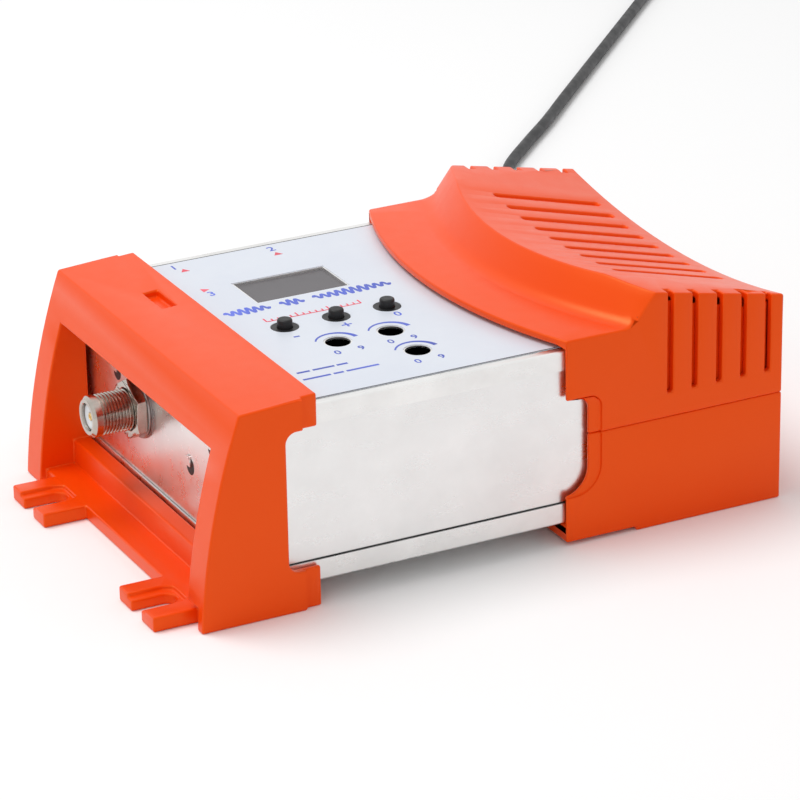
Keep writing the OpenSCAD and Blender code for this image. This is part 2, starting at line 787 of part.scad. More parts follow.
module led_display() {
    color("black") at_mid() slab([-display_x - module_w / 2, -display_x + module_w / 2],
        [display_y - display_l / 2, display_y + display_l / 2], [module_top - module_h, module_top]);
}
module display_socket() {
    color("black") at_mid() for (side = [-1, 1]) {
        x = -display_x + side * (module_w - strip_w) / 2;
        slab([x - strip_w / 2, x + strip_w / 2], [display_y - display_l / 2, display_y + display_l / 2],
            [board_top, module_top - module_h]);
    }
}
module main_board() {
    cut = flange_d / 2 + board_cut;
    color("darkgreen") at_mid() difference() {
        slab([-board_hw, board_hw], [board_y0, board_y1], [board_z, board_top]);
        slab([-rf_out_x - cut, -rf_out_x + cut], [board_y0 - over, frame_front + behind_wall],
            [board_z - over, board_top + over]);
        slab([-board_hw - over, -frame_hw + behind_wall],
            [rf_in_y - cut, rf_in_y + cut], [board_z - over, board_top + over]);
    }
}
module switch_body(y) {
    color("black") at_mid() difference() {
        slab([button_x - switch_w / 2, button_x + switch_w / 2], [y - switch_w / 2, y + switch_w / 2],
            [board_top, board_top + switch_h]);
        post(button_x, y, [board_top + switch_floor, board_top + switch_h + over],
            plunger_d + 2 * plunger_fit);
    }
}
module button(y) {
    low = board_top + switch_floor + button_travel + switch_gap;
    color("black") at_mid() {
        post(button_x, y, [low, plunger_top - plunger_edge], plunger_d);
        translate([button_x, y, plunger_top - plunger_edge])
            cylinder(h = plunger_edge, d1 = plunger_d, d2 = plunger_d - 2 * plunger_edge);
    }
}
module trimmer(i) {
    x = trimmer_xs[i];
    y = trimmer_ys[i];
    color("royalblue") at_mid() difference() {
        slab([x - trimmer_w / 2, x + trimmer_w / 2], [y - trimmer_w / 2, y + trimmer_w / 2],
            [board_top, board_top + trimmer_h]);
        post(x, y, [board_top + trimmer_h - rotor_sink - seat_gap, board_top + trimmer_h + over],
            rotor_d + 2 * rotor_fit);
    }
}
module rotor(i) {
    x = trimmer_xs[i];
    y = trimmer_ys[i];
    top = board_top + trimmer_h + rotor_rise;
    color("white") at_mid() difference() {
        post(x, y, [board_top + trimmer_h - rotor_sink, top], rotor_d);
        slab([x - rotor_slot / 2, x + rotor_slot / 2], [y - rotor_d, y + rotor_d],
            [top - rotor_slot, top + over]);
    }
}
module rf_body() {
    color("silver") difference() {
        union() {
            post(0, 0, [-sheet_t, thread_start], thread_d - neck_step);
            post(0, 0, [thread_start, connector_out - tip_chamfer], thread_d);
            translate([0, 0, connector_out - tip_chamfer])
                cylinder(h = tip_chamfer, r1 = thread_r, r2 = thread_r - tip_chamfer);
            post(0, 0, [flange_back, -sheet_t], flange_d);
            post(0, 0, [flange_back - tail_l, flange_back], tail_d);
        }
        post(0, 0, [flange_back, connector_out + over], socket_d);
        post(0, 0, [flange_back - tail_l - over, flange_back + over], pin_d + 2 * seat_gap);
    }
}
module rf_insulator() {
    color("white") difference() {
        post(0, 0, [flange_back, face_z], socket_d - seat_gap);
        post(0, 0, [flange_back - over, face_z + over], contact_d + seat_gap);
    }
}
module rf_contact() {
    color("gold") difference() {
        union() {
            post(0, 0, [flange_back, face_z], contact_d);
            post(0, 0, [flange_back - tail_l - contact_tail, flange_back], pin_d);
        }
        post(0, 0, [face_z - contact_depth, face_z + over], contact_bore);
    }
}
module rf_washer() {
    color("silver") difference() {
        post(0, 0, [0, washer_t], washer_d);
        post(0, 0, [-over, washer_t + over], thread_d + 2 * thread_fit);
    }
}
module rf_nut() {
    color("silver") difference() {
        translate([0, 0, washer_t]) cylinder(h = nut_t, d = nut_af / cos(30), $fn = 6);
        post(0, 0, [washer_t - over, washer_t + nut_t + over], thread_d + 2 * thread_fit);
    }
}
module video_section(w, h) {
    polygon([for (s = video_shape_shares) [s[0] * w, s[1] * h]]);
}
module at_video_in() {
    at_mid() translate([-frame_hw - video_out, video_in_y, board_top])
        rotate([90, 0, 90]) children();
}
module video_in_shell() {
    color("silver") at_video_in() linear_extrude(video_depth) difference() {
        video_section(video_w, video_h);
        translate([0, video_sheet]) video_section(video_w - 2 * video_sheet, video_h - 2 * video_sheet);
    }
}
module video_in_tongue() {
    inner = video_sheet + seat_gap;
    color("black") at_video_in() {
        translate([0, inner, video_depth - block_l]) linear_extrude(block_l)
            video_section(video_w - 2 * inner, video_h - 2 * inner);
        slab([-tongue_w / 2, tongue_w / 2], [(video_h - tongue_t) / 2, (video_h + tongue_t) / 2],
            [video_depth - block_l - tongue_l, video_depth - block_l + over]);
    }
}
// A box standing on the board at a share of its half width and a place along it
module on_board(x_share, y, size) {
    at_mid() translate([x_share * board_hw - size[0] / 2, y - size[1] / 2, board_top]) cube(size);
}
module on_board_shares(shares, size) {
    on_board(shares[0], board_y0 + shares[1] * board_l, size);
}
module tuner_shield() {
    middle = (can_ys[0] + can_ys[1]) / 2;
    size = [can_w, can_ys[1] - can_ys[0], can_h];
    color("silver") difference() {
        on_board(can_x_share, middle, size);
        translate([0, 0, -can_wall]) on_board(can_x_share, middle, size - [2 * can_wall, 2 * can_wall, 0]);
    }
}
module video_chip() {
    color("black") on_board(video_chip_x_share, video_chip_y, video_chip_size);
}
module control_chip() {
    color("black") on_board_shares(control_chip_shares, control_chip_size);
}
module crystal() {
    color("silver") on_board_shares(crystal_shares, crystal_size);
}
module board_capacitors() {
    color("navy") at_mid() for (s = capacitor_shares)
        post(s[0] * board_hw, board_y0 + s[1] * board_l, [board_top, board_top + capacitor_h],
            capacitor_d);
}
module dc_header() {
    color("white") at_mid() slab([lead_x - header_size[0] / 2, lead_x + header_size[0] / 2],
        [header_back - header_size[1], header_back], [board_top, board_top + header_size[2]]);
}
// A wire of straight pieces through a list of points
module wire(points, d) {
    $fn = wire_fn;
    for (i = [0:len(points) - 2]) {
        step = points[i + 1] - points[i];
        translate(points[i]) rotate([0, acos(step[2] / norm(step)), atan2(step[1], step[0])])
            cylinder(h = norm(step), d = d);
    }
    for (i = [1:len(points) - 2]) translate(points[i]) sphere(d = d);
}
module dc_lead() {
    y = psu_y0 + lead_bend;
    color("black") at_mid() wire([[lead_x, header_back, lead_z], [lead_x, y - lead_bend / 2, lead_z],
        [lead_x, y, lead_z - lead_bend / 2], [lead_x, y, psu_top]], lead_d);
}
module lead_grommet() {
    color("black") at_mid() translate([lead_x, frame_back - sheet_t / 2, lead_z]) rotate([-90, 0, 0])
        difference() {
            cylinder(h = grommet_t, d = grommet_d, center = true);
            difference() {
                cylinder(h = sheet_t + seat_gap, d = grommet_d + over, center = true);
                cylinder(h = sheet_t + seat_gap, d = grommet_hole - 2 * seat_gap, center = true);
            }
            cylinder(h = grommet_t + over, d = lead_d + 2 * seat_gap, center = true);
        }
}
module psu_board() {
    color("darkgreen") at_mid() slab([-psu_hw, psu_hw], [psu_y0, psu_y0 + psu_l], [psu_z, psu_top]);
}
module transformer_core() {
    half = core_w / 2;
    color("dimgray") at_mid() difference() {
        slab([core_x - half, core_x + half], [psu_mid - core_l / 2, psu_mid + core_l / 2],
            [psu_top, psu_top + core_h]);
        for (side = [-1, 1]) translate([core_x + side * (half - core_leg + core_mid / 2) / 2, 0, 0])
            slab([(core_mid / 2 + core_leg - half) / 2, (half - core_leg - core_mid / 2) / 2],
                [psu_mid - core_l, psu_mid + core_l], [psu_top + core_leg, psu_top + core_h - core_leg]);
    }
}
module transformer_winding() {
    hw = core_w / 2 - core_leg - winding_gap;
    hl = core_l / 2 + winding_out;
    in_w = core_mid / 2 + winding_gap;
    in_l = core_l / 2 + winding_gap;
    z = [psu_top + core_leg + winding_gap, psu_top + core_h - core_leg - winding_gap];
    color("goldenrod") at_mid() difference() {
        slab([core_x - hw, core_x + hw], [psu_mid - hl, psu_mid + hl], z);
        slab([core_x - in_w, core_x + in_w], [psu_mid - in_l, psu_mid + in_l], [z[0] - over, z[1] + over]);
    }
}
module bulk_capacitor() {
    color("navy") at_mid() post(bulk_x, psu_mid, [psu_top, psu_top + bulk_h], bulk_d);
}
module output_capacitor() {
    color("navy") at_mid() post(output_x, psu_mid, [psu_top, psu_top + output_h], output_d);
}
module line_filter() {
    color("gold") at_mid() translate([filter_x - filter_size[0] / 2, psu_mid - filter_size[1] / 2, psu_top])
        cube(filter_size);
}
module fuse() {
    y = psu_y0 + fuse_in;
    color("white") at_mid() {
        translate([fuse_x - fuse_l / 2, y, psu_top + fuse_d / 2]) rotate([0, 90, 0])
            cylinder(h = fuse_l, d = fuse_d);
        for (x = [fuse_x - fuse_l / 2, fuse_x + fuse_l / 2 - fuse_clip])
            slab([x, x + fuse_clip], [y - fuse_d / 2, y + fuse_d / 2], [psu_top, psu_top + fuse_d / 2]);
    }
}
module power_chip() {
    color("black") at_mid() translate([power_chip_x - power_chip_size[0] / 2,
        psu_mid - power_chip_size[1] / 2, psu_top]) cube(power_chip_size);
}
module mains_wires() {
    y0 = cavity_back - gland_flange_t;
    y1 = psu_y0 + psu_l - wire_pad;
    wire_top = psu_top + wire_rise;
    color("saddlebrown") for (side = [-1, 1]) {
        x = gland_x + side * wire_pitch / 2;
        wire([[x, y0, gland_z], [x, y0 - wire_bend, gland_z], [x, y0 - wire_bend, wire_top],
            [x, y1, wire_top], [x, y1, psu_top]], wire_d);
    }
}
module cord_gland() {
    color("black") translate([gland_x, cavity_back - gland_flange_t, gland_z]) rotate([-90, 0, 0]) {
        cylinder(h = gland_flange_t, d = gland_flange_d);
        translate([0, 0, gland_flange_t]) cylinder(h = housing_wall, d = gland_d);
        translate([0, 0, gland_flange_t + housing_wall])
            cylinder(h = gland_l, d1 = gland_root_d, d2 = gland_tip_d);
    }
}
function unit(v) = v / norm(v);
function heading(a) = [cos(a), sin(a), 0];
function ring(c, t, r, sides) = let (s = unit(cross(t, [0, 0, 1])), w = cross(s, t))
    [for (j = [0:sides - 1]) c + r * (cos(360 * j / sides) * s + sin(360 * j / sides) * w)];
// A tube through points with a direction at each
module tube(points, directions, r, sides) {
    last = (len(points) - 1) * sides;
    polyhedron(points = [for (i = [0:len(points) - 1]) each ring(points[i], directions[i], r, sides)],
        faces = concat([for (i = [0:len(points) - 2]) for (j = [0:sides - 1]) let (a = i * sides + j,
                b = i * sides + (j + 1) % sides) each [[a, b, b + sides], [a, b + sides, a + sides]]],
            [for (j = [1:sides - 2]) [0, j + 1, j]],
            [for (j = [1:sides - 2]) [last, last + j, last + j + 1]]));
}
// Points of a smooth line through a route, and its direction at each of them
function curve(a, b, c, d, t) = (2 * b + (c - a) * t + (2 * a - 5 * b + 4 * c - d) * t * t
    + (3 * b - a - 3 * c + d) * t * t * t) / 2;
function slope_at(a, b, c, d, t) = (c - a + 2 * (2 * a - 5 * b + 4 * c - d) * t
    + 3 * (3 * b - a - 3 * c + d) * t * t) / 2;
route = concat([run_start, run_start + [0, cord_d, 0]], cord_route,
    [cord_route[len(cord_route) - 1] + cord_d * heading(coil_heading)]);
route_before = route[0] - [0, cord_d, 0];
route_after = route[len(route) - 1] + cord_d * heading(coil_heading);
knots = concat([route_before], route, [route_after]);
run_line = concat([for (i = [1:len(route) - 1]) for (k = [0:run_steps - 1])
    curve(knots[i - 1], knots[i], knots[i + 1], knots[i + 2], k / run_steps)], [route[len(route) - 1]]);
run_directions = concat([[0, 1, 0]], [for (i = [1:len(run_line) - 2]) let (s = floor(i / run_steps) + 1,
    k = i % run_steps) unit(slope_at(knots[s - 1], knots[s], knots[s + 1], knots[s + 2], k / run_steps))],
    [heading(coil_heading)]);
module cord_run() {
    color("black") tube(run_line, run_directions, cord_r, run_sides);
}
coil_start = route[len(route) - 1] + cord_d * heading(coil_heading);
coil_centre = coil_start + coil_out_r * heading(coil_heading + 90);
function ease(t) = let (s = max(0, min(1, t))) s * s * (3 - 2 * s);
function coil_z(u) = route[len(route) - 1][2] + coil_rise * ease((u - coil_turns) / coil_climb)
    + (plug_z - coil_rise - route[len(route) - 1][2]) * ease((u - coil_end + exit_turn) / exit_turn);
function coil_point(u) = [coil_centre[0], coil_centre[1], coil_z(u)]
    + (coil_low_r + coil_pitch * abs(u - coil_mid)) * heading(coil_heading - 90 + 360 * u);
coil_loops = concat([for (i = [0:floor(coil_end * coil_steps)]) coil_point(i / coil_steps)],
    [coil_point(coil_end)]);
plug_at = coil_point(coil_end) + tail_run * heading(exit_heading);
coil_line = concat([route[len(route) - 1]], coil_loops, [plug_at - cord_d * heading(exit_heading), plug_at]);
coil_directions = concat([heading(coil_heading), heading(coil_heading)],
    [for (i = [2:len(coil_line) - 4]) unit(coil_line[i + 1] - coil_line[i - 1])],
    [for (i = [0:2]) heading(exit_heading)]);
least_gap = min([for (i = [0:len(coil_loops) - 1]) for (j = [i + coil_steps / 2:len(coil_loops) - 1])
    norm(coil_loops[i] - coil_loops[j])]) - cord_d;
echo(least_coil_gap = least_gap);
module cord_coil() {
    color("black") tube(coil_line, coil_directions, cord_r, coil_sides);
}
// A flat band round all loops on one side of the coil
module cord_tie() {
    near = coil_in_r - cord_r - tie_gap;
    far = coil_out_r + cord_r + tie_gap - coil_pitch * tie_turn;
    low = route[len(route) - 1][2] - cord_r - tie_gap;
    high = low + coil_rise + cord_d + 2 * tie_gap;
    color("dimgray") translate([coil_centre[0], coil_centre[1], 0])
        rotate([0, 0, coil_heading - 90 + 360 * tie_turn]) difference() {
            slab([near - tie_t, far + tie_t], [-tie_w / 2, tie_w / 2], [low - tie_t, high + tie_t]);
            slab([near, far], [-tie_w, tie_w], [low, high]);
        }
}
module at_plug() {
    translate(plug_at) rotate([0, 0, exit_heading]) children();
}
module plug_body() {
    color("black") at_plug() intersection() {
        translate([0, 0, -plug_z]) linear_extrude(plug_h)
            polygon([for (s = plug_plan_shares) [s[0] * plug_l, s[1] * plug_w]]);
        translate([0, plug_w / 2, 0]) rotate([90, 0, 0]) linear_extrude(plug_w)
            polygon([for (s = plug_side_shares) [s[0] * plug_l, s[1] * plug_h]]);
        rotate([90, 0, 90]) linear_extrude(plug_l)
            polygon([for (s = plug_face_shares) [s[0] * plug_w, s[1] * plug_h]]);
    }
}
module plug_pins() {
    color("silver") at_plug() for (side = [-1, 1]) translate([plug_l, side * plug_pitch / 2, 0])
        rotate([0, 90, 0]) cylinder(h = plug_pin_l, d = plug_pin_d);
}

front_cover();
rear_cover_top();
rear_cover_bottom();
box_frame();
box_top_lid();
box_bottom_lid();
top_label();
display_filter();
led_display();
display_socket();
main_board();
button(button_ys[0]);  // button_down
button(button_ys[1]);  // button_up
button(button_ys[2]);  // button_set
switch_body(button_ys[0]);  // switch_down
switch_body(button_ys[1]);  // switch_up
switch_body(button_ys[2]);  // switch_set
trimmer(0);  // trimmer_video
trimmer(1);  // trimmer_audio
trimmer(2);  // trimmer_level
rotor(0);  // rotor_video
rotor(1);  // rotor_audio
rotor(2);  // rotor_level
at_rf_out() rf_body();  // rf_out_body
at_rf_out() rf_insulator();  // rf_out_insulator
at_rf_out() rf_contact();  // rf_out_contact
at_rf_out() rf_nut();  // rf_out_nut
at_rf_out() rf_washer();  // rf_out_washer
at_rf_in() rf_body();  // rf_in_body
at_rf_in() rf_insulator();  // rf_in_insulator
at_rf_in() rf_contact();  // rf_in_contact
at_rf_in() rf_nut();  // rf_in_nut
at_rf_in() rf_washer();  // rf_in_washer
video_in_shell();
video_in_tongue();
tuner_shield();
video_chip();
control_chip();
crystal();
board_capacitors();
dc_header();
dc_lead();
lead_grommet();
psu_board();
transformer_core();
transformer_winding();
bulk_capacitor();
output_capacitor();
line_filter();
fuse();
power_chip();
mains_wires();
cover_screws();
cord_gland();
cord_run();
cord_coil();
cord_tie();
plug_body();
plug_pins();
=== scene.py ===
import json
from math import cos, pi, radians, sin

import bpy
from mathutils import Matrix, Vector

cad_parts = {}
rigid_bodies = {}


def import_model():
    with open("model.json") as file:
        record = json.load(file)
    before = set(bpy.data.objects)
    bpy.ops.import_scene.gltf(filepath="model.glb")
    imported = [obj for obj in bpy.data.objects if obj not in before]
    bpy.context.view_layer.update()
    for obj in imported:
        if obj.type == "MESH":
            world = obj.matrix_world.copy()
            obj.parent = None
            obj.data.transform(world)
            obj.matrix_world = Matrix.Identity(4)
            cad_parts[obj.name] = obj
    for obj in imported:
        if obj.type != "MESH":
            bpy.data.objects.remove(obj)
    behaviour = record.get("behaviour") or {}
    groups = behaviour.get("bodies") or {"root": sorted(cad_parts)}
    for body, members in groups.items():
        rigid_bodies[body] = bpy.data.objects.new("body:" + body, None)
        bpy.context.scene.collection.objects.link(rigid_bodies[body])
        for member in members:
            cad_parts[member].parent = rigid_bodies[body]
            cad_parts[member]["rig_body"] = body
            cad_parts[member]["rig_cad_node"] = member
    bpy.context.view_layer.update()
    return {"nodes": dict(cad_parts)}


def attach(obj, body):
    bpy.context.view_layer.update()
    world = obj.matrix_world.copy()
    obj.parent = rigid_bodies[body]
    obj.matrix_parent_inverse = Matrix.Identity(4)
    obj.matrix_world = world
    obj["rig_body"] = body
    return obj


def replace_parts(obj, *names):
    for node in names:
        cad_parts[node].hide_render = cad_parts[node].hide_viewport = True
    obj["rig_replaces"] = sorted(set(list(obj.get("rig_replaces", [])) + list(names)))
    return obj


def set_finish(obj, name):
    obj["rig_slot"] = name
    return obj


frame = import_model()
mm = 0.001

# the photograph's camera, solved from the casing's straight edges

view = {"place": (0.76565, -0.37717, 0.38003), "azimuth": 63.351, "elevation": 22.860,
        "roll": -1.029, "lens": 182.34, "nearest": 0.05}


def makeCamera():
    a, e, r = (radians(view[key]) for key in ("azimuth", "elevation", "roll"))
    back = Vector((sin(a) * cos(e), -cos(a) * cos(e), sin(e)))
    right = Vector((cos(a), sin(a), 0))
    up = back.cross(right)
    right, up = cos(r) * right + sin(r) * up, cos(r) * up - sin(r) * right
    camera = bpy.data.objects.new("photoCamera", bpy.data.cameras.new("photoCamera"))
    bpy.context.scene.collection.objects.link(camera)
    camera.data.lens = view["lens"]
    camera.data.clip_start = view["nearest"]
    turn = Matrix((right, up, back)).transposed().to_4x4()
    camera.matrix_world = Matrix.Translation(view["place"]) @ turn
    bpy.context.scene.camera = camera


# small helpers used by every piece; weld and sliver are in metres, angles in degrees

weld, sliver = 0.000002, 0.00002
fineEdge = {"segments": 2, "angle": 40}
cadSmooth = 14


def selectOnly(piece):
    bpy.ops.object.select_all(action="DESELECT")
    piece.select_set(True)
    bpy.context.view_layer.objects.active = piece


def editMode(kind="FACE"):
    bpy.ops.object.mode_set(mode="EDIT")
    bpy.ops.mesh.select_mode(type=kind)


def objectMode():
    bpy.ops.object.mode_set(mode="OBJECT")


def chooseEdges(piece, test):
    selectOnly(piece)
    editMode("EDGE")
    bpy.ops.mesh.select_all(action="DESELECT")
    objectMode()
    for edge in piece.data.edges:
        edge.select = test(*(piece.data.vertices[i].co for i in edge.vertices))
    editMode("EDGE")


def addModifier(piece, kind, **settings):
    modifier = piece.modifiers.new(kind.title(), kind)
    for key, value in settings.items():
        setattr(modifier, key, value)
    selectOnly(piece)
    bpy.ops.object.modifier_apply(modifier=modifier.name)


def roundEdges(piece, width, segments, angle):
    selectOnly(piece)
    bpy.ops.object.shade_smooth_by_angle(angle=radians(angle))
    addModifier(piece, "BEVEL", width=width, segments=segments, limit_method="ANGLE",
                angle_limit=radians(angle), use_clamp_overlap=False, loop_slide=False)


# a profile lists (height, radius) in mm up the turning axis

def turned(name, profile, sides):
    height, radius = profile[0]
    bpy.ops.object.select_all(action="DESELECT")
    bpy.ops.mesh.primitive_circle_add(vertices=sides, radius=radius * mm, fill_type="NGON",
                                      location=(0, 0, height * mm))
    piece = bpy.context.active_object
    piece.name = name
    bpy.ops.object.transform_apply(location=True, rotation=True, scale=True)
    editMode()
    bpy.ops.mesh.select_all(action="SELECT")
    for nextHeight, nextRadius in profile[1:]:
        rise = (nextHeight - height) * mm
        bpy.ops.mesh.extrude_region_move(TRANSFORM_OT_translate={"value": (0, 0, rise)})
        share = nextRadius / radius
        bpy.ops.transform.resize(value=(share, share, 1),
                                 center_override=(0, 0, nextHeight * mm))
        height, radius = nextHeight, nextRadius
    bpy.ops.mesh.select_all(action="SELECT")
    bpy.ops.mesh.normals_make_consistent(inside=False)
    objectMode()
    return piece


def block(name, low, high):
    size = [(b - a) * mm for a, b in zip(low, high)]
    centre = [(a + b) / 2 * mm for a, b in zip(low, high)]
    bpy.ops.object.select_all(action="DESELECT")
    bpy.ops.mesh.primitive_cube_add(size=1, location=centre)
    piece = bpy.context.active_object
    piece.name = name
    piece.scale = size
    bpy.ops.object.transform_apply(location=True, rotation=True, scale=True)
    return piece


def place(piece, at, towards=(0, 0, 1), spin=0):
    shift = Matrix.Translation([c * mm for c in at])
    turn = Vector(towards).to_track_quat("Z", "Y").to_matrix().to_4x4()
    piece.matrix_world = shift @ turn @ Matrix.Rotation(spin, 4, "Z")
    selectOnly(piece)
    bpy.ops.object.transform_apply(location=True, rotation=True, scale=True)
    return piece


def copyOf(piece, name):
    copy = piece.copy()
    copy.data = piece.data.copy()
    copy.name = name
    bpy.context.scene.collection.objects.link(copy)
    return copy


def joined(name, parts):
    bpy.ops.object.select_all(action="DESELECT")
    for part in parts:
        part.select_set(True)
    bpy.context.view_layer.objects.active = parts[0]
    bpy.ops.object.join()
    parts[0].name = name
    return parts[0]


def cut(piece, tool, how="DIFFERENCE"):
    addModifier(piece, "BOOLEAN", object=tool, operation=how, solver="EXACT")
    bpy.data.objects.remove(tool)


def cadCopy(node, name, tidySlivers=False):
    source = frame["nodes"][node]
    piece = source.copy()
    piece.data = source.data.copy()
    piece.name = name
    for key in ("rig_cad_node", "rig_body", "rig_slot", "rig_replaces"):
        if key in piece:
            del piece[key]
    piece.parent = None
    bpy.context.scene.collection.objects.link(piece)
    piece.hide_render = piece.hide_viewport = False
    selectOnly(piece)
    editMode("VERT")
    bpy.ops.mesh.select_all(action="SELECT")
    bpy.ops.mesh.remove_doubles(threshold=weld)
    if tidySlivers:
        bpy.ops.mesh.dissolve_degenerate(threshold=sliver)
    objectMode()
    return piece


def finishPiece(piece, material, slotName, body="casing", replaces=(), angle=32):
    piece.data.materials.clear()
    piece.data.materials.append(material)
    selectOnly(piece)
    bpy.ops.object.shade_smooth_by_angle(angle=radians(angle))
    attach(piece, body)
    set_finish(piece, slotName)
    if replaces:
        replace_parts(piece, *replaces)
    return piece


# materials: every pattern is read in metres, in the piece's own space

def newMaterial(name, color, roughness, metallic=0.0, **sockets):
    material = bpy.data.materials.new(name)
    material.use_nodes = True
    shader = material.node_tree.nodes["Principled BSDF"]
    shader.inputs["Base Color"].default_value = (*color, 1)
    shader.inputs["Roughness"].default_value = roughness
    shader.inputs["Metallic"].default_value = metallic
    for key, value in sockets.items():
        shader.inputs[key.replace("_", " ")].default_value = value
    return material


def addNode(material, kind, values=(), **settings):
    node = material.node_tree.nodes.new(kind)
    for key, value in settings.items():
        setattr(node, key, value)
    for key, value in dict(values).items():
        node.inputs[key].default_value = value
    return node


def link(material, source, target):
    material.node_tree.links.new(source, target)


def patternIn(material, stretch=(1, 1, 1), turn=(0, 0, 0)):
    coordinates = addNode(material, "ShaderNodeTexCoord")
    mapping = addNode(material, "ShaderNodeMapping", {"Scale": stretch, "Rotation": turn})
    link(material, coordinates.outputs["Object"], mapping.inputs["Vector"])
    return mapping.outputs["Vector"]


def noise(material, scale, detail=3.0, roughness=0.5, stretch=(1, 1, 1), turn=(0, 0, 0)):
    node = addNode(material, "ShaderNodeTexNoise",
                   {"Scale": scale, "Detail": detail, "Roughness": roughness})
    link(material, patternIn(material, stretch, turn), node.inputs["Vector"])
    return node.outputs["Fac"]


def ramp(material, source, low, high, start=0.35, end=0.65):
    node = addNode(material, "ShaderNodeMapRange",
                   {"From Min": start, "From Max": end, "To Min": low, "To Max": high})
    link(material, source, node.inputs["Value"])
    return node.outputs["Result"]


# the Mix node's colour sockets share their names with others, so they go by number

mixSockets = {"factor": 0, "first": 6, "second": 7, "result": 2}


def mixColors(material, factor, first, second):
    node = addNode(material, "ShaderNodeMix", data_type="RGBA")
    link(material, factor, node.inputs[mixSockets["factor"]])
    for socketIndex, color in ((mixSockets["first"], first), (mixSockets["second"], second)):
        node.inputs[socketIndex].default_value = (*color, 1)
    return node.outputs[mixSockets["result"]]


def toShader(material, socket, source):
    link(material, source, material.node_tree.nodes["Principled BSDF"].inputs[socket])


def addBump(material, source, strength, distance):
    bump = addNode(material, "ShaderNodeBump", {"Strength": strength, "Distance": distance})
    link(material, source, bump.inputs["Height"])
    toShader(material, "Normal", bump.outputs["Normal"])


plasticNoise = {"tint": 38, "gloss": 300}
metalNoise = {"scuffs": 240, "brushed": 520, "brushDepth": 0.00004}


def mouldedPlastic(name, light, dark, roughness, grain=1600, depth=0.00003, strength=0.25,
                   **sockets):
    material = newMaterial(name, light, roughness[0], **sockets)
    clouds = ramp(material, noise(material, plasticNoise["tint"], detail=4), 0, 1)
    toShader(material, "Base Color", mixColors(material, clouds, light, dark))
    gloss = noise(material, plasticNoise["gloss"])
    toShader(material, "Roughness", ramp(material, gloss, *roughness))
    addBump(material, noise(material, grain), strength, depth)
    return material


def sheetMetal(name, light, dark, roughness, blotch=55, scratch=0.2):
    material = newMaterial(name, light, roughness[0], metallic=1.0)
    clouds = noise(material, blotch, detail=5, roughness=0.6)
    toShader(material, "Base Color",
             mixColors(material, ramp(material, clouds, 0, 1, 0.3, 0.7), light, dark))
    scuffs = noise(material, metalNoise["scuffs"], detail=6, roughness=0.65,
                   stretch=(1, 0.25, 1), turn=(0.3, 0.2, 0.5))
    toShader(material, "Roughness", ramp(material, scuffs, *roughness))
    brushed = noise(material, metalNoise["brushed"], detail=5, roughness=0.6, stretch=(0.3, 1, 1))
    addBump(material, brushed, scratch, metalNoise["brushDepth"])
    return material


makeCamera()
print("camera ready")

# finishes of this unit: light tone, dark tone, range of roughness

coverOrange = mouldedPlastic("coverOrange", (0.88, 0.058, 0.0), (0.87, 0.055, 0.0), (0.30, 0.34),
                             depth=0.00001, strength=0.05, Specular_IOR_Level=0.55,
                             Specular_Tint=(1.0, 0.80, 0.26, 1.0))
tin = sheetMetal("brightTin", (0.88, 0.875, 0.865), (0.74, 0.735, 0.725), (0.24, 0.40))
frameTin = sheetMetal("frameTin", (0.84, 0.835, 0.83), (0.75, 0.745, 0.74), (0.26, 0.32),
                      blotch=45, scratch=0.015)
nickel = sheetMetal("connectorNickel", (0.54, 0.49, 0.44), (0.40, 0.36, 0.32), (0.12, 0.24),
                    blotch=260, scratch=0.1)
zinc = sheetMetal("darkZinc", (0.42, 0.40, 0.39), (0.30, 0.28, 0.27), (0.28, 0.42), blotch=300)
brass = sheetMetal("contactBrass", (0.80, 0.58, 0.26), (0.66, 0.45, 0.18), (0.2, 0.32),
                   blotch=300, scratch=0.1)
blackPlastic = mouldedPlastic("blackPlastic", (0.009, 0.009, 0.010), (0.006, 0.006, 0.007),
                              (0.36, 0.5), Specular_IOR_Level=0.35)
blackRubber = mouldedPlastic("leadRubber", (0.016, 0.016, 0.018), (0.011, 0.011, 0.012),
                             (0.42, 0.58), grain=900, depth=0.00004)
whitePlastic = mouldedPlastic("whitePlastic", (0.78, 0.80, 0.82), (0.70, 0.73, 0.76), (0.3, 0.42))
bluePlastic = mouldedPlastic("trimmerBlue", (0.02, 0.11, 0.42), (0.015, 0.085, 0.34), (0.35, 0.5))
yellowPlastic = mouldedPlastic("filterYellow", (0.80, 0.58, 0.05), (0.7, 0.48, 0.04), (0.35, 0.5))
sleeveBlack = mouldedPlastic("capacitorSleeve", (0.015, 0.02, 0.05), (0.01, 0.014, 0.035),
                             (0.25, 0.4))
ferrite = mouldedPlastic("ferrite", (0.06, 0.058, 0.06), (0.035, 0.034, 0.036), (0.6, 0.8),
                         grain=700, depth=0.00006)
ceramic = mouldedPlastic("fuseCeramic", (0.75, 0.72, 0.66), (0.68, 0.65, 0.58), (0.4, 0.55))
brownRubber = mouldedPlastic("wireBrown", (0.12, 0.045, 0.02), (0.09, 0.032, 0.014), (0.45, 0.6))
screwSteel = sheetMetal("screwSteel", (0.62, 0.61, 0.60), (0.48, 0.47, 0.46), (0.22, 0.38),
                        blotch=300, scratch=0.15)


def circuitBoard():
    material = mouldedPlastic("circuitBoard", (0.012, 0.10, 0.035), (0.008, 0.075, 0.025),
                              (0.3, 0.45))
    cells = addNode(material, "ShaderNodeTexVoronoi", {"Scale": 260.0},
                    feature="DISTANCE_TO_EDGE")
    link(material, patternIn(material), cells.inputs["Vector"])
    traces = ramp(material, cells.outputs["Distance"], 1, 0, start=0.04, end=0.09)
    toShader(material, "Base Color",
             mixColors(material, traces, (0.010, 0.085, 0.03), (0.03, 0.19, 0.07)))
    return material


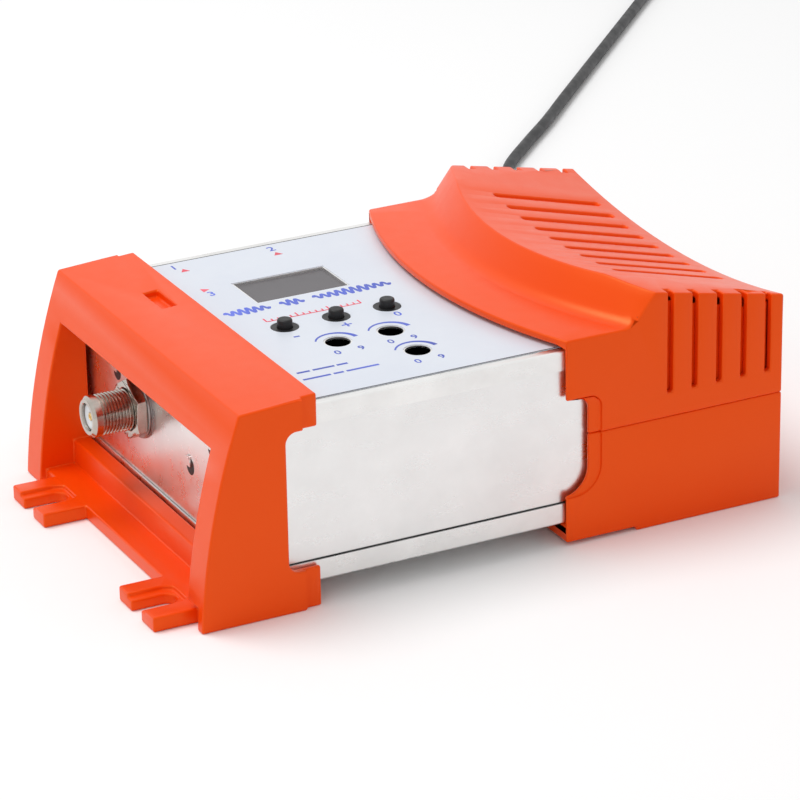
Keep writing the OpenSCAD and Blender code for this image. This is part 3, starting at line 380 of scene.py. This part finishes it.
def copperWinding():
    material = newMaterial("copperWinding", (0.62, 0.24, 0.07), 0.35, metallic=0.8)
    turns = addNode(material, "ShaderNodeTexWave", {"Scale": 900.0, "Distortion": 0.6},
                    bands_direction="Z")
    link(material, patternIn(material), turns.inputs["Vector"])
    toShader(material, "Base Color",
             mixColors(material, turns.outputs["Fac"], (0.4, 0.13, 0.035), (0.7, 0.3, 0.09)))
    addBump(material, turns.outputs["Fac"], strength=0.6, distance=0.0001)
    return material


labelFilm = mouldedPlastic("labelFilm", (0.70, 0.74, 0.81), (0.67, 0.71, 0.79), (0.30, 0.38),
                           grain=700, depth=0.00001, strength=0.15)
boardGreen = circuitBoard()
copper = copperWinding()
smokedWindow = mouldedPlastic("smokedWindow", (0.085, 0.075, 0.085), (0.07, 0.062, 0.07),
                              (0.16, 0.24), grain=300, depth=0.00001, strength=0.1)
print("materials ready")

# mains lead: a smooth line through the route's points, then a coil of two layers, in mm

cord = {"diameter": 3.2, "exit": (-26, 100.7, 9), "pitch": 3.75, "turns": 3.25, "climb": 0.5,
        "innerRadius": 12.8, "rise": 3.75, "heading": 136, "tail": 30, "tailSteps": 4,
        "plugHeight": 6.9, "plugHeading": 180, "exitTurn": 0.25, "spanSteps": 6, "turnSteps": 48}
cordRoute = [(-26, 106, 8.6), (-27.5, 112, 6.6), (-32, 118, 4.2), (-40, 122, 2.6),
             (-52, 124, 2), (-68, 124, 1.8), (-88, 122, 1.8), (-108, 120, 1.8),
             (-128, 118.5, 1.8), (-144, 118, 1.8), (-157, 120.5, 1.8), (-170, 127.5, 1.8),
             (-184, 140.5, 1.8), (-198.5, 155, 1.8), (-213.5, 169, 1.8), (-231, 185.5, 1.8),
             (-249, 202.5, 1.8), (-267, 219.5, 1.8), (-285, 236.5, 1.8), (-300, 251, 2.2),
             (-314, 264.5, 2.5)]


def heading(degrees):
    return Vector((cos(radians(degrees)), sin(radians(degrees)), 0))


def ease(share):
    share = min(max(share, 0), 1)
    return share * share * (3 - 2 * share)


def routeLine(points, towards):
    d, steps = cord["diameter"], cord["spanSteps"]
    knots = [points[0] - Vector((0, d, 0))] + points + [points[-1] + d * towards]
    line = []
    for i in range(1, len(knots) - 2):
        a, b, c, e = knots[i - 1:i + 3]
        for k in range(steps):
            t = k / steps
            line.append((2 * b + (c - a) * t + (2 * a - 5 * b + 4 * c - e) * t ** 2
                         + (3 * b - a - 3 * c + e) * t ** 3) / 2)
    return line + [points[-1]]


def coilLine(start):
    outer = cord["innerRadius"] + cord["pitch"] * cord["turns"]
    centre = start + outer * heading(cord["heading"] + 90)
    centre.z = 0
    half = cord["turns"] + cord["climb"] / 2
    low = cord["innerRadius"] - cord["pitch"] * cord["climb"] / 2
    end = 2 * cord["turns"] + cord["climb"] + (cord["plugHeading"] - cord["heading"]) / 360
    lift = cord["plugHeight"] - cord["rise"] - start.z
    steps, exitTurn = cord["turnSteps"], cord["exitTurn"]
    line = []
    for u in [i / steps for i in range(int(end * steps) + 1)] + [end]:
        height = start.z + cord["rise"] * ease((u - cord["turns"]) / cord["climb"])
        height += lift * ease((u - end + exitTurn) / exitTurn)
        out = (low + cord["pitch"] * abs(u - half)) * heading(cord["heading"] - 90 + 360 * u)
        line.append(centre + Vector((0, 0, height)) + out)
    return line


def cordLine():
    d, tail, steps = cord["diameter"], cord["tail"], cord["tailSteps"]
    towards = heading(cord["heading"])
    points = [Vector(cord["exit"]), Vector(cord["exit"]) + Vector((0, d, 0))]
    points += [Vector(p) for p in cordRoute]
    points += [points[-1] + d * towards]
    line = routeLine(points, towards) + coilLine(points[-1] + d * towards)
    last = line[-1]
    line += [last + Vector((-tail * k / steps, 0, 0)) for k in range(1, steps)]
    plugAt = last + Vector((-tail, 0, 0))
    return line + [plugAt], plugAt


def makeCord():
    line, plugAt = cordLine()
    curve = bpy.data.curves.new("mainsLead", "CURVE")
    curve.dimensions = "3D"
    spline = curve.splines.new("POLY")
    spline.points.add(len(line) - 1)
    for point, at in zip(spline.points, line):
        point.co = (*[c * mm for c in at], 1)
        point.radius = 1
    curve.bevel_depth = cord["diameter"] / 2 * mm
    curve.bevel_resolution = 5
    curve.use_fill_caps = True
    lead = bpy.data.objects.new("mainsLead", curve)
    bpy.context.scene.collection.objects.link(lead)
    curve.materials.append(blackRubber)
    spline.use_smooth = True
    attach(lead, "casing")
    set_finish(lead, "black_rubber")
    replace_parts(lead, "cord_run", "cord_coil")
    length = sum((b - a).length for a, b in zip(line, line[1:])) * mm
    print("cord length", round(length, 4))
    return lead, length, plugAt


lead, leadLength, plugAt = makeCord()
print("cord ready")

# covers: copies of the CAD shells with their edges rounded as the mould leaves them

middleX = 4.95
cover = {"edge": 0.5, "segments": 3, "angle": 28}

# in metres: where the front cover's skin steps, and the arc at the foot of the rear slope

step = {"y": -0.0432, "near": 0.0002}
foot = {"round": 2.2, "segments": 5, "z": 0.0492, "front": 0.0254, "back": 0.0379,
        "longest": 0.0035, "near": 1e-5}


def bevelSelected(width, segments):
    bpy.ops.mesh.bevel(offset=width * mm, segments=segments, affect="EDGES", clamp_overlap=False,
                       loop_slide=False)
    objectMode()


def bevelChosen(piece, width, segments, test):
    chooseEdges(piece, test)
    bevelSelected(width, segments)


def roundSharp(piece, width, segments, angle, skip):
    editMode("EDGE")
    bpy.ops.mesh.select_all(action="DESELECT")
    bpy.ops.mesh.edges_select_sharp(sharpness=radians(angle))
    objectMode()
    points = piece.data.vertices
    for edge in piece.data.edges:
        if edge.select and skip(*(points[i].co for i in edge.vertices)):
            edge.select = False
    editMode("EDGE")
    bevelSelected(width, segments)


def skinStep(a, b):
    return all(abs(v.y - step["y"]) < step["near"] for v in (a, b))


def slopeFoot(a, b):
    level = all(abs(v.z - foot["z"]) < foot["near"] for v in (a, b))
    inside = min(a.y, b.y) > foot["front"] and max(a.y, b.y) < foot["back"]
    along = (a - b).length < foot["longest"] and abs(a.x - b.x) > abs(a.y - b.y)
    return level and inside and along


def makeCovers():
    for node, name in (("front_cover", "frontCover"), ("rear_cover_top", "rearCoverTop"),
                       ("rear_cover_bottom", "rearCoverBottom")):
        shell = cadCopy(node, name, tidySlivers=node == "front_cover")
        if node == "rear_cover_top":
            bevelChosen(shell, foot["round"], foot["segments"], slopeFoot)
        roundSharp(shell, cover["edge"], cover["segments"], cover["angle"], skinStep)
        finishPiece(shell, coverOrange, "orange", replaces=(node,), angle=cadSmooth)


behindVents = {"inside": 45.75, "thick": 0.5, "low": 28.5, "sill": (22, 23.2),
               "sillZ": (1.9, 5.1), "sillHalf": 46.4,
               "steps": ((45, 52, 52.8), (52, 60, 51), (60, 67, 49.4), (67, 73.4, 47.7))}


def makeVentBacking():
    b = behindVents
    half = b["thick"] / 2
    plates = [block("ventBacking", (x - half, start, b["low"]), (x + half, end, top))
              for x in (middleX - b["inside"], middleX + b["inside"])
              for start, end, top in b["steps"]]
    plates.append(block("ventBacking", (middleX - b["sillHalf"], b["sill"][0], b["sillZ"][0]),
                        (middleX + b["sillHalf"], b["sill"][1], b["sillZ"][1])))
    finishPiece(joined("ventBacking", plates), coverOrange, "orange")


makeCovers()
makeVentBacking()
print("covers ready")

# sheet metal box: the lids' outer bends are rounded, the frame stays as it is

lidLook = {"bend": 0.42, "segments": 4, "top": 46.5, "low": 5.2, "halfWidth": 46.7,
           "front": -54.7, "back": 36.1, "near": 0.01, "straight": 1e-5}


def makeLids():
    near, straight = lidLook["near"], lidLook["straight"]

    def onRim(v):
        return (abs(abs(v.x / mm - middleX) - lidLook["halfWidth"]) < near
                or abs(v.y / mm - lidLook["front"]) < near
                or abs(v.y / mm - lidLook["back"]) < near)

    for node, name, height in (("box_top_lid", "topLid", lidLook["top"]),
                               ("box_bottom_lid", "bottomLid", lidLook["low"])):
        def outerBend(a, b):
            level = all(abs(v.z / mm - height) < near and onRim(v) for v in (a, b))
            return level and (abs(a.x - b.x) < straight or abs(a.y - b.y) < straight)

        lid = cadCopy(node, name)
        bevelChosen(lid, lidLook["bend"], lidLook["segments"], outerBend)
        finishPiece(lid, tin, "tinplate", replaces=(node,), angle=cadSmooth)


tabs = {"places": ((-21.33, 31.69), (18.09, 23.43), (30.07, 31.9)), "radius": 2.0,
        "shift": (0.85, -0.7), "front": -54.12, "proud": 0.02, "thick": 0.03}


def makeTabHoles():
    holes = []
    for x, z in tabs["places"]:
        hole = turned("tabHole", [(0, tabs["radius"]), (tabs["thick"], tabs["radius"])], 32)
        place(hole, (x + tabs["shift"][0], tabs["front"] + tabs["proud"], z + tabs["shift"][1]),
              (0, -1, 0))
        holes.append(hole)
    finishPiece(joined("tabHoles", holes), blackPlastic, "black_plastic")


# thin black strips on both sides under the top lid's skirt and above the bottom lid's skirt:
# painted shade standing for the shadowed gaps at these seams, not real parts
paintedSeamShade = {"outside": (-41.23, 51.13), "ends": (-54.0, 35.4), "thick": 0.16,
        "heights": ((41.7, 41.93), (10.07, 10.3))}


def makePaintedSeamShade():
    half = paintedSeamShade["thick"] / 2
    strips = [block("paintedSeamShadeStrips", (x - half, paintedSeamShade["ends"][0], low), (x + half, paintedSeamShade["ends"][1], high))
              for x in paintedSeamShade["outside"] for low, high in paintedSeamShade["heights"]]
    finishPiece(joined("paintedSeamShadeStrips", strips), blackPlastic, "black_plastic")


makeLids()
makeTabHoles()
makePaintedSeamShade()
print("box ready")

# front panel controls

buttons = {"x": 9.25, "radius": 1.75, "low": 30.9, "top": 48.65, "centre": (0.04, 0.6),
           "places": (("buttonDown", "button_down", -25.8), ("buttonUp", "button_up", -13.1),
                      ("buttonSet", "button_set", -0.4)),
           "crown": ((1.2, 0), (0.45, 0.02), (0.18, 0.12), (0.05, 0.28), (0, 0.5)),
           "collar": ((44.6, 1.86), (44.6, 2.78), (46.51, 2.78), (46.51, 3.2), (46.6, 3.16),
                      (46.62, 1.86), (44.6, 1.86))}


def makeButtons():
    radius, top, x = buttons["radius"], buttons["top"], buttons["x"]
    drop, centre = buttons["centre"]
    outline = [(buttons["low"], radius)]
    outline += [(top - down, radius - inwards) for down, inwards in buttons["crown"]]
    cap = turned("buttonBlank", outline + [(top - drop, centre)], 48)
    collar = turned("collarBlank", buttons["collar"], 48)
    for name, node, y in buttons["places"]:
        piece = place(copyOf(cap, name), (x, y, 0))
        finishPiece(piece, blackPlastic, "black_plastic", body=node, replaces=(node,))
        ring = place(copyOf(collar, name + "Collar"), (x, y, 0))
        finishPiece(ring, blackPlastic, "black_plastic")
    for blank in (cap, collar):
        bpy.data.objects.remove(blank)


makeButtons()

# printing on the label: plain symbols, scales and numbers; the two dark lines along the label's
# long edges are painted shade, not print

printing = {"z": 46.652, "thick": 0.02, "blue": (0.035, 0.07, 0.42), "red": (0.62, 0.03, 0.07),
            "waves": ((-34.4, -23.6, 6), (-20.6, -15.2, 3), (-12.4, 6.6, 10)), "waveX": -3.6,
            "waveHeight": 3.6, "swell": (0.55, 0.45), "wavePoints": 10, "waveInk": 0.8,
            "trimmers": ((22.65, -19.3), (22.65, -6.3), (35.65, -6.3)), "digits": (5.9, 2.9, 3.0),
            "signs": (("-", 15.3, -26.0, 5.5), ("+", 15.0, -13.2, 5.0), ("0", 14.6, -0.4, 3.4),
                      ("1", -36.2, -32.4, 3.6), ("2", -36.2, -7.6, 3.6), ("3", -17.0, -31.6, 3.6)),
            "rows": ((34.9, -35.2, 3.1), (34.9, -31.4, 5.2), (34.9, -25.6, 2.6),
                     (38.9, -35.6, 6.6), (38.9, -28.3, 2.4), (38.9, -25.2, 7.8)),
            "edgeShadeXs": (49.2, -39.3), "edgeShadeYs": (-51.6, 30.0), "edgeShadeWidth": 0.3,
            "arrows": ((-33.4, -30.9, 0), (-32.7, -7.6, 0), (-19.9, -32.1, -90)),
            "arrowRadius": 1.25}
arc = {"radius": 4.9, "start": 244, "sweep": 145, "steps": 24, "thin": 0.34, "swell": 0.66,
       "ink": 1.15}
ruler = {"x": 4.6, "start": -28, "end": -4.6, "step": 1.56, "ticks": 16, "longEvery": 5,
         "long": 2.0, "short": 1.2, "ink": 0.42}


def ink(name, color):
    pale = tuple(min(1, c * 1.7 + 0.05) for c in color)
    return mouldedPlastic(name, color, pale, (0.35, 0.5), 900, 0.00001, 0.1)


def strokes(name, lines, width):
    curve = bpy.data.curves.new(name, "CURVE")
    curve.dimensions = "2D"
    for points in lines:
        spline = curve.splines.new("POLY")
        spline.points.add(len(points) - 1)
        for point, (x, y, share) in zip(spline.points, points):
            point.co = (x * mm, y * mm, 0, 1)
            point.radius = share
    curve.dimensions = "3D"
    curve.bevel_depth = width / 2 * mm
    curve.bevel_resolution = 1
    curve.use_fill_caps = True
    piece = bpy.data.objects.new(name, curve)
    bpy.context.scene.collection.objects.link(piece)
    selectOnly(piece)
    bpy.ops.object.convert(target="MESH")
    piece = bpy.context.active_object
    piece.scale = (1, 1, printing["thick"] / width)
    piece.location = (0, 0, (printing["z"] + printing["thick"] / 2) * mm)
    bpy.ops.object.transform_apply(location=True, rotation=True, scale=True)
    return piece


def sign(name, body, x, y, size):
    bpy.ops.object.select_all(action="DESELECT")
    bpy.ops.object.text_add()
    piece = bpy.context.active_object
    piece.name = name
    piece.data.body = body
    piece.data.size = size * mm
    piece.data.align_x = piece.data.align_y = "CENTER"
    piece.data.offset = 0.05 * mm
    piece.data.extrude = printing["thick"] / 2 * mm
    bpy.ops.object.convert(target="MESH")
    piece = bpy.context.active_object
    z = printing["z"] + printing["thick"] / 2
    piece.matrix_world = (Matrix.Translation((x * mm, y * mm, z * mm))
                          @ Matrix.Rotation(radians(90), 4, "Z"))
    bpy.ops.object.transform_apply(location=True, rotation=True, scale=True)
    return piece


def burst(start, end, waves):
    steps = int(waves * printing["wavePoints"])
    least, more = printing["swell"]
    points = []
    for i in range(steps + 1):
        t = i / steps
        swell = least + more * sin(pi * t) ** 2
        across = printing["waveHeight"] / 2 * swell * sin(2 * pi * waves * t)
        points.append((printing["waveX"] - across, start + (end - start) * t, 1))
    return points


def levelArc(x, y):
    points = []
    for i in range(arc["steps"] + 1):
        angle = radians(arc["start"] - arc["sweep"] * i / arc["steps"])
        points.append((x + arc["radius"] * cos(angle), y + arc["radius"] * sin(angle),
                       arc["thin"] + arc["swell"] * i / arc["steps"]))
    return points


def printBlue():
    blue = ink("blueInk", printing["blue"])
    title = strokes("titleWaves", [burst(*wave) for wave in printing["waves"]],
                    printing["waveInk"])
    arcs = strokes("levelArcs", [levelArc(x, y) for x, y in printing["trimmers"]], arc["ink"])
    dashes = [[(x, y, 1), (x, y + length, 1)] for x, y, length in printing["rows"]]
    rows = strokes("bandRows", dashes, printing["waveInk"])
    marks = [sign("mark", *entry) for entry in printing["signs"]]
    below, aside, size = printing["digits"]
    for x, y in printing["trimmers"]:
        marks += [sign("mark", "0", x + below, y - aside, size),
                  sign("mark", "9", x + below, y + aside, size)]
    finishPiece(joined("bluePrint", [title, arcs, rows] + marks), blue, "label")


# two dark lines along both long edges of the label: painted shade of the gap between the label's
# edge and the box's bend
def paintLabelEdgeShade():
    low, high = printing["edgeShadeYs"]
    rim = strokes("labelEdgeShadeLines", [[(x, low, 1), (x, high, 1)] for x in printing["edgeShadeXs"]],
                  printing["edgeShadeWidth"])
    finishPiece(rim, blackPlastic, "label")


def printRed():
    red = ink("redInk", printing["red"])
    x = ruler["x"]
    lines = [[(x, ruler["start"], 1), (x, ruler["end"], 1)]]
    for i in range(ruler["ticks"]):
        y = ruler["start"] + ruler["step"] * i
        tick = ruler["long"] if i % ruler["longEvery"] == 0 else ruler["short"]
        lines.append([(x, y, 1), (x - tick, y, 1)])
    parts = [strokes("redScale", lines, ruler["ink"])]
    for x, y, turn in printing["arrows"]:
        bpy.ops.object.select_all(action="DESELECT")
        bpy.ops.mesh.primitive_circle_add(vertices=3, radius=printing["arrowRadius"] * mm,
                                          fill_type="NGON")
        arrow = bpy.context.active_object
        editMode()
        bpy.ops.mesh.select_all(action="SELECT")
        rise = printing["thick"] * mm
        bpy.ops.mesh.extrude_region_move(TRANSFORM_OT_translate={"value": (0, 0, rise)})
        objectMode()
        parts.append(place(arrow, (x, y, printing["z"]), spin=radians(turn - 90)))
    finishPiece(joined("redPrint", parts), red, "label")


printBlue()
paintLabelEdgeShade()
printRed()
print("panel ready")

# threaded connectors: built along their own axis, then set on the front and left walls

socket = {"thread": 4.76, "core": 4.42, "neck": 4.36, "start": 3.4, "lastTurn": 10.2, "end": 12.3,
          "tip": 13.0, "pitch": 0.8, "bore": 3.12, "bottom": 8, "nut": 7.33, "nutLow": 0.9,
          "nutHigh": 3.4, "nutEdge": 0.1,
          "insideWall": ((-5, 2.2), (-2, 2.2), (-2, 6), (-0.5, 6)),
          "lip": ((12.88, 4.16), (13.0, 4.04), (13.0, 3.3)),
          "flat": ((4.3, -6, 3.4), (7, 6, 14)), "flatTurn": -38,
          "insulator": ((8, 3.0), (12.05, 3.0), (12.2, 2.85), (12.2, 1.3), (12.0, 1.0),
                        (9, 0.95)),
          "contact": ((-10, 0.4), (-2, 0.42), (-2, 0.9), (12.1, 0.9), (12.2, 0.8),
                      (12.2, 0.52), (12.05, 0.45), (10.6, 0.45)),
          "nutCorners": ((0.9, 6.6), (1.2, 7.4), (3.05, 7.4), (3.4, 6.55)),
          "nutHole": ((0, 5.1), (1.1, 4.86), (3.15, 4.86), (3.6, 5.2)),
          "washer": ((0.0, 4.86), (0.0, 7.2), (0.1, 7.3), (0.34, 7.3), (0.42, 7.0), (0.5, 7.0),
                     (0.56, 7.15), (0.8, 7.15), (0.9, 7.0), (0.9, 4.86), (0.0, 4.86))}
connectors = {"rfOut": ("rf_out_", ((1, 0, 0, -8.05), (0, 0, -1, -54.1), (0, 1, 0, 27))),
              "rfIn": ("rf_in_", ((0, 0, -1, -41.15), (-1, 0, 0, -30.9), (0, 1, 0, 27)))}
videoSocket = {"shellEdge": 0.12, "tongueEdge": 0.15}


def makeThread():
    s, z = socket, socket["start"]
    outline = [*s["insideWall"], (-0.5, s["neck"]), (z, s["neck"])]
    while z < s["lastTurn"]:
        outline += [(z + 0.08, s["thread"]), (z + 0.3, s["thread"]), (z + 0.5, s["core"]),
                    (z + 0.6, s["core"])]
        z += s["pitch"]
    outline += [(z + 0.1, s["thread"]), (s["end"], s["thread"]), *s["lip"],
                (s["tip"] - 0.2, s["bore"]), (s["bottom"], s["bore"]), (s["bottom"], 0.4)]
    body = turned("rfOutBody", outline, 96)
    cut(body, place(block("flat", *s["flat"]), (0, 0, 0), spin=radians(s["flatTurn"])))
    return body


def makeSocket():
    s = socket
    body = makeThread()
    insulator = turned("rfOutInsulator", s["insulator"], 64)
    contact = turned("rfOutContact", s["contact"], 40)
    nut = turned("rfOutNut", [(s["nutLow"], s["nut"]), (s["nutHigh"], s["nut"])], 6)
    cut(nut, turned("chamfers", s["nutCorners"], 72), "INTERSECT")
    cut(nut, turned("hole", s["nutHole"], 72))
    roundEdges(nut, s["nutEdge"] * mm, **fineEdge)
    washer = turned("rfOutWasher", s["washer"], 72)
    return body, insulator, contact, nut, washer


def makeConnectors():
    looks = ((nickel, "nickel", "body"), (whitePlastic, "white_plastic", "insulator"),
             (brass, "brass", "contact"), (nickel, "nickel", "nut"), (zinc, "nickel", "washer"))
    parts = makeSocket()
    for side, (start, rows) in connectors.items():
        matrix = Matrix([[a, b, c, d * mm] for a, b, c, d in rows] + [[0, 0, 0, 1]])
        for part, (material, slotName, kind) in zip(parts, looks):
            piece = copyOf(part, side + kind.capitalize() + "Piece")
            piece.matrix_world = matrix
            selectOnly(piece)
            bpy.ops.object.transform_apply(location=True, rotation=True, scale=True)
            finishPiece(piece, material, slotName, replaces=(start + kind,), angle=28)
    for part in parts:
        bpy.data.objects.remove(part)
    for node, name, edge, material, slotName in (
            ("video_in_shell", "videoShell", "shellEdge", nickel, "nickel"),
            ("video_in_tongue", "videoTongue", "tongueEdge", blackPlastic, "black_plastic")):
        piece = cadCopy(node, name)
        roundEdges(piece, videoSocket[edge] * mm, **fineEdge)
        finishPiece(piece, material, slotName, replaces=(node,), angle=cadSmooth)


makeConnectors()
print("connectors ready")

# cover screws, the lead's strain relief, its plug and the band round the coil

screw = {"xs": (-37.15, 47.05), "ys": (40.3, 70.8), "turns": (25, 13), "recess": (1.75, 0.33, 1.7),
         "outline": ((0.6, 1.9), (0.72, 2.45), (1.1, 2.8), (2.6, 2.8), (2.6, 1.35), (21, 1.35),
                     (22, 0.5))}
relief = {"at": (-26, 73.2, 9), "root": 4.3, "tip": 2.5, "start": 3.5, "end": 27.5, "ribs": 8,
          "neck": 4.45, "collar": ((0, 5.5), (1.2, 5.5), (1.5, 5.2), (1.5, 4.45)), "lead": 1.65}
plug = {"halfSpacing": 9.3, "face": 35, "edge": 1.1, "bandEdge": 0.15,
        "pin": ((0, 1.96), (17.6, 1.96), (18.5, 1.6), (19, 0.9)),
        "sleeve": ((0, 2.0), (9.7, 2.0), (9.9, 1.97))}


def makeScrews():
    blank = turned("screwBlank", screw["outline"], 48)
    long, wide, deep = screw["recess"]
    for a, b in ((long, wide), (wide, long)):
        cut(blank, block("recess", (-a, -b, 0), (a, b, deep)))
    across, along = screw["turns"]
    screws = [place(copyOf(blank, "coverScrews"), (x, y, 0), spin=radians(across * i + along * j))
              for i, x in enumerate(screw["xs"]) for j, y in enumerate(screw["ys"])]
    bpy.data.objects.remove(blank)
    finishPiece(joined("coverScrews", screws), screwSteel, "screw_steel",
                replaces=("cover_screws",))


def makeRelief():
    r = relief
    outline = [*r["collar"], (r["start"], r["neck"])]
    pitch = (r["end"] - r["start"] - 1.6) / r["ribs"]
    for i in range(r["ribs"]):
        z = r["start"] + 0.3 + i * pitch
        wide = r["root"] + (r["tip"] - r["root"]) * (z - r["start"]) / (r["end"] - r["start"])
        outline += [(z, wide - 0.12), (z + 0.2, wide), (z + pitch * 0.55, wide - 0.08),
                    (z + pitch * 0.62, wide - 0.5), (z + pitch * 0.9, wide - 0.62)]
    outline += [(r["end"] - 1, r["tip"]), (r["end"] - 0.25, r["tip"] - 0.05),
                (r["end"], r["tip"] - 0.4), (r["end"], r["lead"])]
    gland = place(turned("strainRelief", outline, 48), r["at"], (0, 1, 0))
    finishPiece(gland, blackRubber, "black_rubber", replaces=("cord_gland",), angle=35)


def makePlug():
    body = cadCopy("plug_body", "plugBody")
    roundEdges(body, plug["edge"] * mm, 4, 25)
    finishPiece(body, blackRubber, "black_rubber", replaces=("plug_body",), angle=16)
    x, y, z = plugAt
    pins, sleeves = [], []
    for side in (-plug["halfSpacing"], plug["halfSpacing"]):
        at = (x - plug["face"], y + side, z)
        pins.append(place(turned("plugPins", plug["pin"], 40), at, (-1, 0, 0)))
        sleeves.append(place(turned("pinSleeves", plug["sleeve"], 40), at, (-1, 0, 0)))
    pins = finishPiece(joined("plugPins", pins), nickel, "nickel", replaces=("plug_pins",))
    sleeves = finishPiece(joined("pinSleeves", sleeves), blackPlastic, "black_plastic")
    band = cadCopy("cord_tie", "coilBand")
    roundEdges(band, plug["bandEdge"] * mm, **fineEdge)
    finishPiece(band, blackPlastic, "black_plastic", replaces=("cord_tie",), angle=cadSmooth)
    return [body, pins, sleeves, band]


makeScrews()
makeRelief()
plugPieces = makePlug()
print("lead ready")

# the CAD's own inner pieces keep their shapes and take a material each

inner = {"box_frame": (frameTin, "tinplate"), "tuner_shield": (frameTin, "tinplate"),
         "top_label": (labelFilm, "label"), "display_filter": (smokedWindow, "smoked"),
         "line_filter": (yellowPlastic, "yellow_plastic"), "fuse": (ceramic, "fuse_ceramic"),
         "transformer_core": (ferrite, "ferrite"), "transformer_winding": (copper, "winding"),
         "dc_header": (whitePlastic, "white_plastic"), "mains_wires": (brownRubber, "brown_rubber"),
         "lead_grommet": (blackRubber, "black_rubber"), "dc_lead": (blackRubber, "black_rubber"),
         "crystal": (frameTin, "nickel")}
for names, look in (
        (("main_board", "psu_board"), (boardGreen, "board")),
        (("bulk_capacitor", "output_capacitor", "board_capacitors"), (sleeveBlack, "sleeve")),
        (("led_display", "display_socket", "switch_down", "switch_up", "switch_set",
          "video_chip", "control_chip", "power_chip"), (blackPlastic, "black_plastic")),
        (("trimmer_video", "trimmer_audio", "trimmer_level"), (bluePlastic, "blue_plastic")),
        (("rotor_video", "rotor_audio", "rotor_level"), (whitePlastic, "white_plastic"))):
    inner.update((name, look) for name in names)


def dressInner():
    for name, (material, slotName) in inner.items():
        piece = frame["nodes"][name]
        piece.data.materials.clear()
        piece.data.materials.append(material)
        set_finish(piece, slotName)


dressInner()
print("inner pieces ready")

# lamps, floor and the room's own light

studio = {"room": 0.64, "floor": 0.97, "floorSize": 8, "aim": (0, 0, 0.02),
          "lamps": (("keyLamp", (-0.25, -0.35, 1.1), 0.7, 6.7),
                    ("fillLamp", (0.9, -0.6, 0.7), 0.8, 0.5))}


def makeRoom():
    world = bpy.data.worlds.new("studio")
    bpy.context.scene.world = world
    world.use_nodes = True
    nodes, links = world.node_tree.nodes, world.node_tree.links
    background = nodes["Background"]
    background.inputs["Color"].default_value = (1, 1, 1, 1)
    path = nodes.new("ShaderNodeLightPath")
    seen, clear = (nodes.new("ShaderNodeMath") for _ in range(2))
    seen.operation = clear.operation = "MAXIMUM"
    links.new(path.outputs["Is Camera Ray"], seen.inputs[0])
    links.new(path.outputs["Is Glossy Ray"], clear.inputs[0])
    links.new(path.outputs["Is Transmission Ray"], clear.inputs[1])
    links.new(clear.outputs[0], seen.inputs[1])
    strength = nodes.new("ShaderNodeMapRange")
    strength.inputs["To Min"].default_value = studio["room"]
    strength.inputs["To Max"].default_value = 1.0
    links.new(seen.outputs[0], strength.inputs["Value"])
    links.new(strength.outputs["Result"], background.inputs["Strength"])


def makeStudio():
    for name, at, size, power in studio["lamps"]:
        lamp = bpy.data.objects.new(name, bpy.data.lights.new(name, "AREA"))
        bpy.context.scene.collection.objects.link(lamp)
        lamp.data.shape = "DISK"
        lamp.data.size = size
        lamp.data.energy = power
        turn = (Vector(studio["aim"]) - Vector(at)).to_track_quat("-Z", "Y").to_matrix()
        lamp.matrix_world = Matrix.Translation(at) @ turn.to_4x4()
    bpy.ops.object.select_all(action="DESELECT")
    bpy.ops.mesh.primitive_plane_add(size=studio["floorSize"], location=(0, 0, 0))
    floor = bpy.context.active_object
    floor.name = "floor"
    paper = newMaterial("floorPaper", (studio["floor"],) * 3, 0.9, Specular_IOR_Level=0.0)
    floor.data.materials.append(paper)


makeRoom()
makeStudio()
print("studio ready")

bpy.context.scene.view_settings.view_transform = "Standard"
